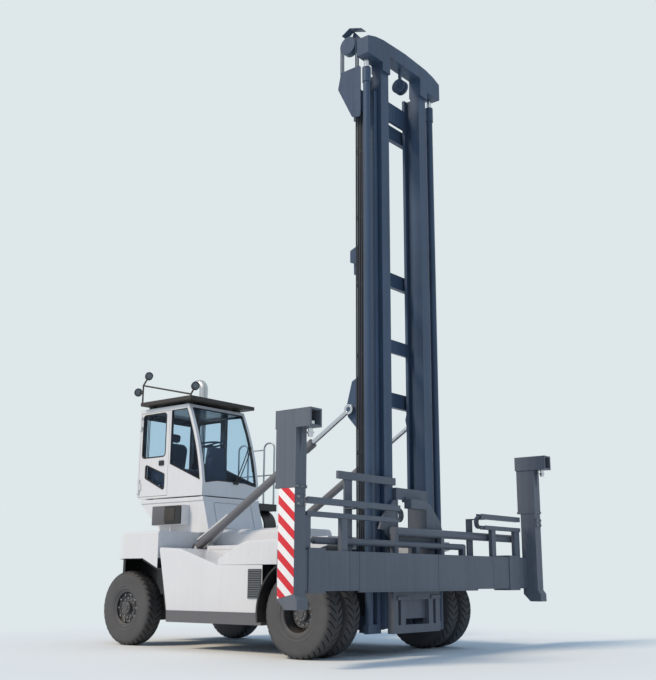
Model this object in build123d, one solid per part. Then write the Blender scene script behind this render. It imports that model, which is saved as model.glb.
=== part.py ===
from build123d import *
import os
from math import cos, radians, sin, sqrt

# An empty container handler. Millimetres, +X forward, +Y to the driver's left, +Z up.
# Every place along X below is measured from the front axle; the last loop moves the
# whole machine so that its box is centred on the origin and it stands on Z = 0.

# Overall
wheelbase = 3912
tail_overhang = 748
tail_reach = wheelbase + tail_overhang
spreader_reach = 1331
cut_overrun = 20
seat_gap = 0.3
slide_gap = 0.5
running_gap = 6

# Wheels
tyre_radius = 562.5
tyre_width = 306
tyre_shoulder = 46
tyre_bead_radius = 262
flank_share = 0.55
bead_inset_share = 0.08
twin_gap = 63
front_wheel_face_y = 1731
rear_wheel_face_y = 1309
rim_wall = 14
disc_thickness = 26
rear_disc_inset = 95
hub_radius = 178
hub_edge = 10
hub_nose_radius = 96
hub_nose_length = 60
hub_face_inset = 96
front_hub_inset = 25
rear_hub_inset = 10
rear_hub_inboard = 60
spindle_radius = 78
spindle_clearance = 1

# Axles and knuckles
axle_tube_radius = 150
axle_bowl_radius = 262
axle_bowl_half = 260
kingpin_y = 930
kingpin_radius = 34
kingpin_clearance = 0.5
knuckle_height = 300
knuckle_depth = 150
steer_axle_height = 190
steer_axle_depth = 260
steer_fork_gap = 3

# Counterweight
arch_reach = 927
weight_front_x = arch_reach - wheelbase
weight_bottom_z = 1310
weight_top_z = 1720
weight_corner_reach = 112
weight_corner_x = weight_corner_reach - wheelbase
weight_tail_half = 860
weight_corner_radius = 80
weight_edge_radius = 40
weight_core_half = 430
weight_core_reach = 582
weight_core_front_x = weight_core_reach - wheelbase
weight_core_bottom_z = 700
tail_plate_thickness = 60
weight_tail_x = tail_plate_thickness - tail_reach
tail_plate_bottom_z = 700
arch_throat_z = 1165
arch_throat_run = 340
arch_liner_inset = 4

# Chassis frame
rail_y = 400
rail_thickness = 50
rail_bottom = 420
rail_top = 1180
frame_front_x = -170
cross_plate_shares = (0.0, 0.25, 1.0)
frame_floor_thickness = 30

# Bodywork
body_half_width = 1500
side_inner_y = 880
side_front_x = -820
side_rear_gap = 35
side_rear_rake = 210
side_rear_high_x = weight_front_x + side_rear_gap
side_rear_low_x = side_rear_high_x + side_rear_rake
side_top_rear_z = 1470
side_shoulder_x = -2500
side_shoulder_z = 1440
side_dip_x = -1720
side_dip_z = 1200
side_bevel = 25
skirt_bottom_z = 390
skirt_top_z = 555
skirt_proud = 4
seam_z = 1195
fender_foot_x = -1690
fender_foot_z = 1300
fender_crest_x = -1190
fender_crest_z = 1530
fender_crest_radius = 600
fender_nose_x = 330
fender_nose_z = 1560
fender_inner_y = 880
fender_plate = 60
mudguard_radius = 690
mudguard_thickness = 26
mudguard_width = 560
mudguard_start = 62
mudguard_sweep = 128
mudguard_corners = 5
mudguard_bracket_z = 880
mudguard_bracket_height = 60
bracket_reach_share = 0.9
louvre_length = 250
louvre_bottom_z = 745
louvre_top_z = 1140
louvre_count = 13
louvre_depth = 14
louvre_slat_share = 0.8
louvre_front_x = -835
tail_grille_half = 420

# Ladder on the left side body
step_inset = 60
step_width = 400
step_reach = 130
step_thickness = 30
step_low_z = 470
step_high_z = 1330
step_count = 4

# Deck, hood and engine
deck_top_z = 1500
deck_thickness = 60
deck_front_x = -560
deck_rear_x = -2560
hood_half_width = 560
hood_top_z = 1760
hood_front_x = -1260
hood_rear_x = -2740
hood_radius = 90
engine_length = 1100
engine_width = 640
engine_front_x = -1350
transmission_length = 620
transmission_width = 460
transmission_height = 480

# Cab
cab_half_width = 655
cab_wall = 50
cab_overhang = 638
cab_length = 1595
cab_rake = 390
cab_rear_x = -wheelbase - cab_overhang
cab_front_x = cab_rear_x + cab_length
cab_roof_front_x = cab_front_x - cab_rake
cab_floor_z = 2310
cab_sill_z = 2520
cab_roof_z = 3840
cab_floor_thickness = 60
cab_roof_thickness = 60
cab_corner_radius = 100
cab_mount_radius = 55
cab_mount_inset = 110
screen_bow = 58
screen_rise = 45
screen_rise_share = 0.55
pillar = 62
pane_thickness = 8

# Doors and windows
door_rear_inset = 38
door_length = 715
door_rear_x = cab_rear_x + door_rear_inset
door_front_x = door_rear_x + door_length
door_bottom_z = 2350
door_top_z = 3770
door_thickness = 42
door_gap = 6
door_hinge_radius = 14
door_hinge_length = 60
door_hinge_leaf = 45
door_hinge_shares = (0.12, 0.88)
window_rear_margin = 50
window_margin = 75
window_top_margin = 28
window_low_z = 2998
window_corner_radius = 60
light_inset = 100
light_high_z = 2890
light_drop = 185
light_low_z = 2432
light_rise = 225
light_corner_radius = 35
quarter_rear_margin = 45
quarter_low_z = 2565
quarter_high_z = 3765
quarter_drop = 300
quarter_shares = (0.0, 0.25, 0.5, 0.75, 1.0)
handle_inset = 105
handle_length = 105
handle_height = 70
handle_z = 2926

# Cab pedestal and the service box on its right side
pedestal_half = 640
pedestal_flange = 60
pedestal_top_z = 2290
pedestal_rear_offset = 110
pedestal_rear_x = cab_rear_x + pedestal_rear_offset
pedestal_rear_low_offset = 670
pedestal_rear_low_x = cab_rear_x + pedestal_rear_low_offset
pedestal_front_high_offset = 25
pedestal_front_high_x = cab_front_x + pedestal_front_high_offset
pedestal_front_low_offset = 175
pedestal_front_low_x = cab_front_x + pedestal_front_low_offset
service_rear_offset = 590
service_rear_x = cab_rear_x + service_rear_offset
service_front_offset = 710
service_front_x = service_rear_x + service_front_offset
service_mouth_rear_offset = 270
service_mouth_rear_x = service_rear_x + service_mouth_rear_offset
service_mouth_front_offset = 330
service_mouth_front_x = service_mouth_rear_x + service_mouth_front_offset
service_low_z = 1850
service_high_z = 2165
service_outer_y = 805
service_mouth_depth = 110
service_wall = 18
service_stem_offset = 100
service_stem_drop = 120

# Seat and controls
seat_setback = 385
seat_width = 520
seat_depth = 480
seat_height = 480
seat_back_height = 640
seat_cushion = 120
seat_lean_share = 0.75
wheel_setback = 130
steering_wheel_radius = 190
steering_rim = 16
column_radius = 40
console_depth = 130
console_half = 170
console_height = 620

# Roof rack, lamps, exhaust
rack_front_offset = 155
rack_front_x = cab_roof_front_x + rack_front_offset
rack_rear_offset = 110
rack_rear_x = cab_rear_x + rack_rear_offset
rack_half_width = 760
rack_z = 3890
rack_thickness = 60
rack_foot = 50
lamp_radius = 68
lamp_depth = 70
lamp_bezel = 8
lamp_turn = 35
lamp_y = 735
lamp_rail_radius = 14
lamp_stalk_rear_offset = 15
lamp_stalk_rear_x = rack_rear_x + lamp_stalk_rear_offset
lamp_stalk_front_offset = 25
lamp_stalk_front_x = rack_front_x - lamp_stalk_front_offset
lamp_rail_rear_z = 320
lamp_rail_front_z = 35
# columns: share of the way from the rear stalk to the front one, height above the rack
lamp_shares = ((-0.105, 200), (0.112, 455), (1.079, 146))
exhaust_inset = 83
exhaust_overhang = 110
exhaust_x = exhaust_inset - tail_reach
exhaust_tip_x = -tail_reach - exhaust_overhang
exhaust_y = 835
exhaust_radius = 80
exhaust_pipe_radius = 50
exhaust_shield_z = 3800
exhaust_top_z = 4560
exhaust_bend_share = 1.5

# Platform and rails on the left side
platform_rear_offset = 300
platform_rear_x = cab_rear_x + platform_rear_offset
platform_front_offset = 285
platform_front_x = cab_front_x - platform_front_offset
platform_outer_y = 1440
platform_cab_gap = 3
platform_z = 2290
platform_thickness = 120
platform_post_inset = 480
platform_post_half = 45
stay_radius = 300
stay_thickness = 26
stay_width = 300
rail_tube_radius = 17
rail_bar_radius = 12
hoop_top_z = 3400
hoop_middle_z = 2820
hoop_bend = 100
# columns: rear and front leg of each hoop, from the platform's front edge
hoop_places = ((-290, -45), (-930, -690))

# Mast
mast_foot_z = 300
outer_top_z = 8250
outer_rear_x = 250
outer_front_x = 560
outer_web_in_y = 665
outer_web_out_y = 712
outer_lip_y = 632
outer_flange = 40
inner_foot_z = 360
inner_top_z = 8600
inner_rear_x = 296
inner_front_x = 620
inner_edge_in_y = 415
inner_edge_out_y = 612
inner_block_depth = 160
inner_rear_flange = 46
inner_web = 50
inner_roller_levels = (560, 1500)
roller_gap = 0.6
crossbeam_rear_x = 440
crossbeam_front_x = 660
crossbeam_end_y = 985
crossbeam_end_low_z = 8735
crossbeam_top_z = 9145
crossbeam_arch_y = 420
crossbeam_arch_z = 8910
# columns: share of the crossbeam's half length, drop below its top
crossbeam_shares = ((0.48, 20), (0.6, 27), (0.8, 60), (1.0, 125))
chain_sheave_drop = 310
chain_sheave_radius = 115
chain_sheave_width = 40
chain_hanger = 20
chain_pin_end = 20
lift_cylinder_x = 530
lift_cylinder_y = 857
mast_ear_radius = 225
mast_ear_clearance = 1
lift_barrel_radius = 54
lift_bore_radius = 40.8
lift_bore_run = 100
lift_rod_radius = 40
lift_barrel_foot_z = 420
lift_barrel_top_z = 8570
lift_collar_radius = 66
lift_collar_length = 240
lift_rod_foot_z = 700
cross_depth = 80
cross_gusset = 120
cross_rib = 20
outer_cross_levels = ((860, 1100), (3500, 3720), (5380, 5600), (7850, 8080))
inner_cross_levels = ((700, 900), (4300, 4500), (8080, 8400))

# Hose pulley behind the crossbeam's right end, and the guard beside the mast's head
sheave_back = 280
sheave_y = 800
sheave_drop = 65
sheave_radius = 145
sheave_width = 110
sheave_hoses = 3
sheave_hose_pitch = 35
sheave_hose_share = 0.75
hose_drop_z = 8450
cap_reach = 110
cap_peak_forward = 40
cap_peak = 290
cap_eaves = 210
cap_plate = 12
hose_guard_y = 888
hose_guard_plate = 12
hose_guard_corner = 40
hose_guard_spacer_x = 418
hose_guard_spacer = 27
hose_guard_spacer_drop = 350
# columns: place along X, height above the outer mast's top
hose_guard_outline = ((68, 372), (10, 102), (283, -438), (445, -476), (445, 380))
hose_trough_outline = ((90, 150), (190, 230), (400, 190), (400, 110))

# Tilt cylinders, their brackets on the mast and their struts on the chassis
tilt_cylinder_y = 800
tilt_base_offset = 115
tilt_base_x = weight_front_x + tilt_base_offset
tilt_base_z = 1475
tilt_pin_x = 160
tilt_pin_z = 3350
tilt_barrel_radius = 62
tilt_rod_radius = 36
tilt_bore_radius = 36.8
tilt_gland = 800
tilt_gland_proud = 8
tilt_gland_length = 160
tilt_eye_radius = 74
tilt_eye_width = 72
eye_root_share = 0.6
tilt_pin_radius = 32
tilt_pin_clearance = 3
tilt_piston_inset = 1300
strut_foot_length = 330
strut_foot_z = 1060
strut_run = 700
strut_rise = 270
strut_depth = 120
strut_lip = 26
strut_pocket = 40
bracket_corner_radius = 30
side_gusset_z = 5480
# columns: forward of the tilt pin, above the pin or above the gusset's foot
tilt_bracket_outline = ((240, -480), (240, 530), (10, 410), (-90, 50), (-60, -100), (140, -320))
side_gusset_outline = ((240, 0), (240, 370), (-20, 260), (-20, 80))

# Spreader
beam_front_x = 923
beam_rear_x = 668
beam_low_z = 866
beam_high_z = 1345
beam_wall = 14
beam_half = 1775
beam_lip = 22
beam_lip_right = -1577
beam_lip_left = 1303
tongue_gap = 7
tongue_pad_length = 200
arm_inner_end = 1740
arm_box_end = 2590
arm_collar_start = 2270
arm_collar_proud = 26
post_rear_x = 850
post_front_x = 1103
post_inner_y = 2852
post_outer_y = 3047
arm_stub_end = post_inner_y - seat_gap
post_foot_z = 665
post_foot_front_x = 1150
post_foot_rise = 60
post_chamfer_z = 780
stripe_recess = 4
sleeve_low_z = 2040
sleeve_rear_x = 800
sleeve_front_x = 1111
sleeve_flange = 8
sleeve_flange_height = 36
clamp_depth = 16
clamp_drop = 210
clamp_height = 130
head_rear_x = 785
head_inner_y = 2837
head_low_z = 2742
head_high_z = 2963
head_wall = 24
gusset_low_z = 2450
gusset_reach = 80
lock_x = 1230
lock_y = 2926.5
lock_radius = 30
lock_cone_radius = 48
lock_drop = 110

# Carriage
carriage_rear_x = 350
carriage_half = 396
carriage_low_z = 480
carriage_high_z = 2250
carriage_plate = 40
carriage_face_x = 664
carriage_roller_levels = (640, 2090)
carriage_cross_levels = ((480, 740), (1500, 1700), (2090, 2250))
under_frame_half = 570
under_frame_low_z = 295
under_frame_depth = 60
under_frame_bar = 110
connector_height = 50
connector_depth = 20
# columns: right and left end, drop below the top of the frame under the beam
connector_strips = ((-490, -230, 64), (330, 560, 50))
valve_half = 200
valve_low_z = 1970
valve_high_z = 2100
valve_depth = 120
# columns: outward of the carriage's side, above the beam's top
wing_outline = ((-10, 55), (274, 315), (394, 319), (322, 478), (57, 731), (-10, 731))

# Spreader cylinders and cable carriers
spread_cylinder_x = 755
spread_rod_radius = 28
spread_rod_gap = 0.8
spread_piston_inset = 70
spread_lug = 40
spread_eye_radius = 52
saddle_shares = (0.0, 0.35)
# columns: side (1 left, -1 right), axis height, then outward along that side the base end, gland end and rod
# eye, barrel radius
spread_cylinders = (
    (1, 1640, -620, 2680, 2800, 60),
    (-1, 1470, -1200, 2300, 2460, 45),
)
tray_rear_x = 830
tray_front_x = 920
tray_wall = 6
tray_low_z = 1745
tray_low_depth = 60
tray_high_z = 1900
tray_high_depth = 75
tray_post_y = 1510
tray_post_width = 160
tray_post_thickness = 22
tray_post_top_z = 2270
tray_bar_top_z = 2370
tray_bar_start_y = 470
tray_bar_end_y = 1740
upright_rear_x = 845
upright_front_x = 905
chain_thickness = 35
# columns: side, then outward along that side the start of the lower tray, the end of both trays
cable_trays_table = (
    (1, 1575, 2690),
    (-1, 760, 2600),
)
# columns: outward start and end of each upright that carries the lower tray
tray_uprights = ((1800, 1920), (2520, 2680))

# Hoses down the right outer column
hose_radius = 12
hose_xs = (270, 302, 334, 366, 398)
hose_y = 778
hose_low_z = 520
hose_clamp_height = 60
hose_clamp_levels = (640, 1700, 2700, 4100, 5150, 6200, 7250, 8100)


def block(x0, x1, y0, y1, z0, z1):
    # a rectangular solid between two corners
    return Pos((x0 + x1) / 2, (y0 + y1) / 2, (z0 + z1) / 2) * Box(abs(x1 - x0), abs(y1 - y0), abs(z1 - z0))


def plate_xz(points, y0, y1):
    # a side-view outline of (x, z) points, extruded from y0 to y1
    face = Plane(origin=(0, y0, 0), x_dir=(1, 0, 0), z_dir=(0, -1, 0)) * Polygon(*points, align=None)
    return extrude(face, amount=abs(y1 - y0), dir=(0, 1 if y1 > y0 else -1, 0))


def plate_xy(points, z0, z1):
    # a plan outline of (x, y) points, extruded from z0 up to z1
    return extrude(Pos(0, 0, z0) * Polygon(*points, align=None), amount=z1 - z0, dir=(0, 0, 1))


def plate_yz(points, x0, x1):
    # a front-view outline of (y, z) points, extruded from x0 to x1
    face = Plane(origin=(x0, 0, 0), x_dir=(0, 1, 0), z_dir=(1, 0, 0)) * Polygon(*points, align=None)
    return extrude(face, amount=x1 - x0, dir=(1, 0, 0))


def bar(start, end, radius):
    # a round bar between two points
    run = Vector(*end) - Vector(*start)
    return extrude(Plane(origin=start, z_dir=run) * Circle(radius), amount=run.length)


def bent_tube(points, radius, bend):
    # a round tube along straight runs joined by arcs
    path = FilletPolyline(*points, radius=bend)
    return sweep(Plane(origin=points[0], z_dir=path % 0) * Circle(radius), path=path)


def turned(profile):
    # a profile of (radius, y) points turned about the Y axis
    return revolve(Polygon(*profile, align=None), axis=Axis.Y)


def mirrored(shape):
    # the same piece on the other side of the machine
    return mirror(shape, about=Plane.XZ)


def both(shape):
    # a piece and its mirror image, as separate solids
    return Compound(children=[*shape.solids(), *mirrored(shape).solids()])


def group(*shapes):
    # several separate solids of one piece
    return Compound(children=[solid for shape in shapes for solid in shape.solids()])


def tyre(inner_y, outer_y):
    # one tyre: crowned tread, round shoulders and bulged sidewalls
    r, s, b = tyre_radius, tyre_shoulder, tyre_bead_radius
    flank_r = b + (r - b) * flank_share
    bead_inset = tyre_width * bead_inset_share
    profile = [
        (b, inner_y + bead_inset), (flank_r, inner_y), (r - s, inner_y + s / 4), (r, inner_y + s),
        (r, outer_y - s), (r - s, outer_y - s / 4), (flank_r, outer_y), (b, outer_y - bead_inset),
    ]
    return turned(profile)


def rim(inner_y, outer_y, disc_y, hub_start, hub_y):
    # a rim barrel with its flanges, a stepped disc, hub drum and nose; the hub is bored for its spindle
    b = tyre_bead_radius - seat_gap
    inset = tyre_width * bead_inset_share
    w, t = rim_wall, disc_thickness / 2
    low, high = inner_y + inset, outer_y - inset
    barrel = turned([(b - w, low), (b, low), (b, high), (b - w, high)])
    ring = turned([(b - 2 * w, high - w), (b, high - w), (b, high), (b - w, high)])
    bore = spindle_radius + spindle_clearance
    step = (hub_radius + b) / 2
    disc = turned([(bore, disc_y - t), (b - w / 2, disc_y - t), (b - w / 2, disc_y + t), (step + w, disc_y + t),
                   (step, disc_y + t + w), (hub_radius + w, disc_y + t + w), (hub_radius, disc_y + t),
                   (bore, disc_y + t)])
    nose = hub_y - hub_nose_length
    hub = turned([(bore, hub_start), (hub_radius, hub_start), (hub_radius, nose - hub_edge),
                  (hub_radius - hub_edge, nose),
                  (hub_nose_radius, nose), (hub_nose_radius, hub_y - hub_edge),
                  (hub_nose_radius - hub_edge, hub_y),
                  (0, hub_y), (0, nose - hub_nose_length), (bore, nose - hub_nose_length)])
    return barrel + ring + disc + hub


def front_wheel():
    # the right-hand twin wheel: two tyres and one rim assembly, centred on the axle line
    outer = front_wheel_face_y
    middle = outer - tyre_width
    inner = middle - twin_gap - tyre_width
    tyres = group(tyre(middle, outer), tyre(inner, inner + tyre_width))
    disc_y = middle - twin_gap / 2
    wheel_rim = rim(inner, outer, disc_y, inner + front_hub_inset, outer - hub_face_inset)
    return tyres, wheel_rim


def rear_wheel():
    # the right-hand steered wheel, its disc near the outer face
    outer = rear_wheel_face_y
    inner = outer - tyre_width
    hub_start = (inner + outer) / 2 - rear_hub_inboard
    return tyre(inner, outer), rim(inner, outer, outer - rear_disc_inset, hub_start, outer - rear_hub_inset)


def place_left(shape, x):
    # a wheel modelled on the origin goes to its axle, on the left side
    return Pos(x, 0, tyre_radius) * shape


def drive_axle():
    # the front axle housing, with its differential bowl and the two wheel spindles
    inner = front_wheel_face_y - 2 * tyre_width - twin_gap
    tube_end = inner - running_gap
    spindle_end = front_wheel_face_y - hub_face_inset - 2 * hub_nose_length - running_gap
    half = turned([(0, 0), (axle_bowl_radius, 0), (axle_bowl_radius, axle_bowl_half / 2),
                   (axle_tube_radius, axle_bowl_half), (axle_tube_radius, tube_end),
                   (spindle_radius, tube_end), (spindle_radius, spindle_end), (0, spindle_end)])
    return Pos(0, 0, tyre_radius) * (half + mirrored(half))


def steer_axle():
    # the rear axle beam with a fork at each end, bored for the king-pins, and the steering cylinder along
    # its rear face
    h, d = steer_axle_height, steer_axle_depth
    z = tyre_radius
    x = -wheelbase
    fork_end = kingpin_y + 2 * kingpin_radius
    fork_root = kingpin_y - knuckle_depth
    beam = block(x - d / 2, x + d / 2, -fork_end, fork_end, 2 * z - steer_axle_top(), steer_axle_top())
    mouth = block(x - d, x + d, fork_root, fork_end + cut_overrun, z - knuckle_height / 2,
                  z + knuckle_height / 2)
    beam = beam - mouth - mirrored(mouth)
    for side in (1, -1):
        beam = beam - Pos(x, side * kingpin_y, z) * Cylinder(kingpin_radius + kingpin_clearance,
                                                             2 * knuckle_height)
    return beam


def knuckle():
    # the left king-pin, knuckle block and stub axle
    z = tyre_radius
    x = -wheelbase
    tall = knuckle_height / 2 - steer_fork_gap
    body = block(x - knuckle_depth / 2, x + knuckle_depth / 2, kingpin_y - knuckle_depth / 2,
                 kingpin_y + knuckle_depth / 2, z - tall, z + tall)
    pin = Pos(x, kingpin_y, z) * Cylinder(kingpin_radius, knuckle_height + steer_axle_height / 2)
    stub_end = rear_wheel_face_y - rear_hub_inset - 2 * hub_nose_length - running_gap
    stub = bar((x, kingpin_y, z), (x, stub_end, z), spindle_radius)
    return body + pin + stub


def chassis_frame():
    # two deep rails, joined by a floor and three cross plates
    rear_x = weight_core_front_x + seat_gap
    rail = block(rear_x, frame_front_x, rail_y, rail_y + rail_thickness, rail_bottom, rail_top)
    floor = block(rear_x, frame_front_x, -rail_y, rail_y, rail_bottom, rail_bottom + frame_floor_thickness)
    frame = rail + mirrored(rail) + floor
    for share in cross_plate_shares:
        x = rear_x + share * (frame_front_x - rail_thickness - rear_x)
        frame = frame + block(x, x + rail_thickness, -rail_y, rail_y, rail_bottom, rail_top)
    bowl = Pos(0, 0, tyre_radius) * Rot(90, 0, 0) * Cylinder(axle_bowl_radius + seat_gap, 2 * axle_bowl_half)
    return frame - bowl


def side_outline():
    # the side body seen from the side, from its lower rear corner round to its lower front
    return [
        (side_rear_low_x, skirt_top_z), (side_rear_high_x, side_top_rear_z), (side_shoulder_x, side_shoulder_z),
        (side_dip_x, side_dip_z), (side_front_x, seam_z), (side_front_x, skirt_top_z),
    ]


def side_bodies():
    # the closed tank and battery bodies between the axles, bevelled along their upper outer edge
    body = plate_xz(side_outline(), side_inner_y, body_half_width)
    upper = body.edges().filter_by(lambda e: e.center().Y > body_half_width - seat_gap
                                   and e.center().Z > side_dip_z)
    return both(chamfer(upper, side_bevel))


def side_skirts():
    # the grey sill under each side body
    outline = [(side_rear_low_x - skirt_proud, skirt_top_z - seat_gap),
               (side_rear_low_x + skirt_proud, skirt_bottom_z),
               (side_front_x - skirt_proud, skirt_bottom_z), (side_front_x, skirt_top_z - seat_gap)]
    return both(plate_xz(outline, side_inner_y, body_half_width + skirt_proud))


def louvres():
    # the slatted grilles: one behind each front wheel and a wide one in the tail
    pitch = (louvre_top_z - louvre_bottom_z) / louvre_count
    y = body_half_width + seat_gap
    back = y + louvre_depth / 3
    x0, x1 = louvre_front_x - louvre_length, louvre_front_x
    grille = block(x0, x1, y, back, louvre_bottom_z, louvre_top_z)
    tail_x = -tail_reach - seat_gap
    tail_back = tail_x - louvre_depth / 3
    tail = block(tail_back, tail_x, -tail_grille_half, tail_grille_half, louvre_bottom_z, louvre_top_z)
    for i in range(louvre_count):
        z = louvre_bottom_z + i * pitch
        top = z + pitch * louvre_slat_share
        grille = grille + plate_yz([(back, z), (y + louvre_depth, z), (back, top)], x0, x1)
        tail = tail + plate_xz([(tail_back, z), (tail_x - louvre_depth, z), (tail_back, top)],
                               -tail_grille_half, tail_grille_half)
    return group(both(grille), tail)


def fenders():
    # the curved cover over each pair of front wheels, its outer edge rounded
    foot_z = side_dip_z + seat_gap
    top = [(fender_foot_x, fender_foot_z), (fender_crest_x, fender_crest_z), (fender_nose_x, fender_nose_z)]
    low = [(fender_nose_x, fender_nose_z - 2 * fender_plate), (side_front_x + 5 * fender_plate, foot_z),
           (fender_foot_x, foot_z)]
    cover = plate_xz(top + low, fender_inner_y, body_half_width)
    ridges = cover.edges().filter_by(Axis.Y)
    crest = ridges.sort_by(lambda e: abs(e.center().X - fender_crest_x) + abs(e.center().Z - fender_crest_z))[0]
    cover = fillet(crest, fender_crest_radius)
    edge = cover.edges().filter_by(lambda e: e.center().Y > body_half_width - seat_gap
                                   and e.center().Z > fender_foot_z + 2 * side_bevel
                                   and e.center().X < fender_nose_x - seat_gap)
    return both(chamfer(edge, side_bevel))


def mudguards():
    # the black arc over each pair of front wheels on its bracket, and the liner of each rear wheel arch
    outer = front_wheel_face_y
    inner = outer - mudguard_width
    ring = Pos(0, (inner + outer) / 2, tyre_radius) * Rot(90, 0, 0) * (
        Cylinder(mudguard_radius + mudguard_thickness, outer - inner) - Cylinder(mudguard_radius,
                                                                                 outer - inner + cut_overrun))
    far = 2 * mudguard_radius
    a, b = radians(mudguard_start), radians(mudguard_start + mudguard_sweep)
    wedge = [(0, tyre_radius)]
    for i in range(mudguard_corners):
        t = a + (b - a) * i / (mudguard_corners - 1)
        wedge.append((far * cos(t), tyre_radius + far * sin(t)))
    arc = ring & plate_xz(wedge, inner - cut_overrun, outer + cut_overrun)
    reach = -mudguard_radius * cos(radians(mudguard_sweep + mudguard_start - 180) / 2) * bracket_reach_share
    low, high = mudguard_bracket_z, mudguard_bracket_z + mudguard_bracket_height
    bracket = block(side_front_x + seat_gap, reach, inner, body_half_width, low, high)
    bore = Pos(0, (inner + outer) / 2, tyre_radius) * Rot(90, 0, 0) * Cylinder(mudguard_radius, outer)
    return both(group(arc + (bracket - bore), arch_liner()))


def arch_liner():
    # the black plate up the side body's rear edge and on under the counterweight's cheek
    slope = (side_rear_high_x - side_rear_low_x) / (side_top_rear_z - skirt_top_z)
    t = mudguard_thickness
    x_top = side_rear_low_x + slope * (arch_throat_z - skirt_top_z) - seat_gap
    cheek_x = weight_front_x - arch_throat_run
    outline = [(side_rear_low_x - seat_gap, skirt_top_z), (x_top, arch_throat_z - seat_gap),
               (weight_front_x, arch_throat_z - seat_gap),
               (cheek_x, weight_bottom_z - seat_gap), (cheek_x, weight_bottom_z - t - seat_gap),
               (weight_front_x, arch_throat_z - t), (x_top - t, arch_throat_z - t),
               (side_rear_low_x - t, skirt_top_z)]
    return plate_xz(outline, side_inner_y, body_half_width - arch_liner_inset)


def counterweight():
    # the cast tail weight: a wide cap over the rear wheels on a narrow core, its corners rounded
    plan = [(weight_front_x, -body_half_width), (weight_front_x, body_half_width),
            (weight_corner_x, body_half_width),
            (-tail_reach, weight_tail_half), (-tail_reach, -weight_tail_half),
            (weight_corner_x, -body_half_width)]
    cap = plate_xy(plan, weight_bottom_z, weight_top_z)
    corners = cap.edges().filter_by(Axis.Z).filter_by(lambda e: e.center().X < weight_front_x - seat_gap)
    cap = fillet(corners, weight_corner_radius)
    rim_edges = cap.edges().group_by(Axis.Z)[-1].filter_by(lambda e: e.center().X < weight_front_x - seat_gap)
    cap = fillet(rim_edges, weight_edge_radius)
    throat = [(weight_front_x, weight_bottom_z), (weight_front_x, arch_throat_z),
              (weight_front_x - arch_throat_run, weight_bottom_z)]
    cheek = plate_xz(throat, side_inner_y, body_half_width)
    core = block(weight_tail_x, weight_core_front_x, -weight_core_half, weight_core_half,
                 weight_core_bottom_z, weight_bottom_z)
    tail = block(-tail_reach, weight_tail_x, -weight_tail_half + weight_corner_radius,
                 weight_tail_half - weight_corner_radius,
                 tail_plate_bottom_z, weight_bottom_z)
    pocket_half = steer_axle_depth / 2 + running_gap
    reach = weight_core_half + cut_overrun
    pocket = block(-wheelbase - pocket_half, -wheelbase + pocket_half, -reach, reach,
                   weight_core_bottom_z - cut_overrun, steer_axle_top() + seat_gap)
    return cap + cheek + mirrored(cheek) + core + tail - pocket


def steer_axle_top():
    # the top face of the rear axle beam, under the counterweight's core
    return tyre_radius + knuckle_height / 2 + steer_axle_height / 4


def deck():
    # the flat deck between the fenders, behind the mast
    slab = block(deck_rear_x, deck_front_x, -fender_inner_y + seat_gap, fender_inner_y - seat_gap,
                 deck_top_z - deck_thickness, deck_top_z)
    well = block(hood_rear_x - seat_gap, hood_front_x + seat_gap, -hood_half_width - seat_gap,
                 hood_half_width + seat_gap, 0, 2 * deck_top_z)
    return slab - well


def hood():
    # the engine hood in front of the cab pedestal
    body = block(hood_rear_x, hood_front_x, -hood_half_width, hood_half_width, rail_top + seat_gap, hood_top_z)
    body = fillet(body.edges().filter_by(Axis.X).group_by(Axis.Z)[-1], hood_radius)
    return body


def engine():
    # the engine with the transmission ahead of it, one plain mass on the frame's floor
    floor = rail_bottom + frame_floor_thickness + seat_gap
    motor = block(engine_front_x - engine_length, engine_front_x, -engine_width / 2, engine_width / 2, floor,
                  rail_top)
    gearbox = block(engine_front_x, engine_front_x + transmission_length, -transmission_width / 2,
                    transmission_width / 2,
                    floor, floor + transmission_height)
    return motor + gearbox


def pedestal():
    # the closed tower under the cab: sloping rear, a flange at its top, four mounts, and the service box on
    # its right side
    top = pedestal_top_z - pedestal_flange
    tower = plate_xz([(pedestal_rear_low_x, weight_top_z + seat_gap),
                      (pedestal_front_low_x, weight_top_z + seat_gap),
                      (pedestal_front_high_x, top), (pedestal_rear_x, top)], -pedestal_half, pedestal_half)
    tower = tower + block(pedestal_rear_x, pedestal_front_high_x, -cab_half_width, cab_half_width, top,
                          pedestal_top_z)
    rise = cab_floor_z - seat_gap - pedestal_top_z
    for x in (pedestal_rear_x + cab_mount_inset, pedestal_front_high_x - cab_mount_inset):
        for y in (cab_mount_inset - cab_half_width, cab_half_width - cab_mount_inset):
            tower = tower + Pos(x, y, pedestal_top_z + rise / 2) * Cylinder(cab_mount_radius, rise)
    return tower + service_box()


def service_box():
    # the open-fronted box beside the door's lower edge, with a short stem below it
    x0, x1, z0, z1 = service_rear_x, service_front_x, service_low_z, service_high_z
    box = block(x0, x1, -service_outer_y, -pedestal_half, z0, z1)
    mouth = block(service_mouth_rear_x, service_mouth_front_x, -service_outer_y - cut_overrun,
                  service_mouth_depth - service_outer_y,
                  z0 + service_wall, z1 - service_wall)
    x = service_mouth_rear_x + service_stem_offset
    y = -(service_outer_y + pedestal_half) / 2
    return box - mouth + bar((x, y, z0 - service_stem_drop), (x, y, z0), rail_tube_radius)


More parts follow.
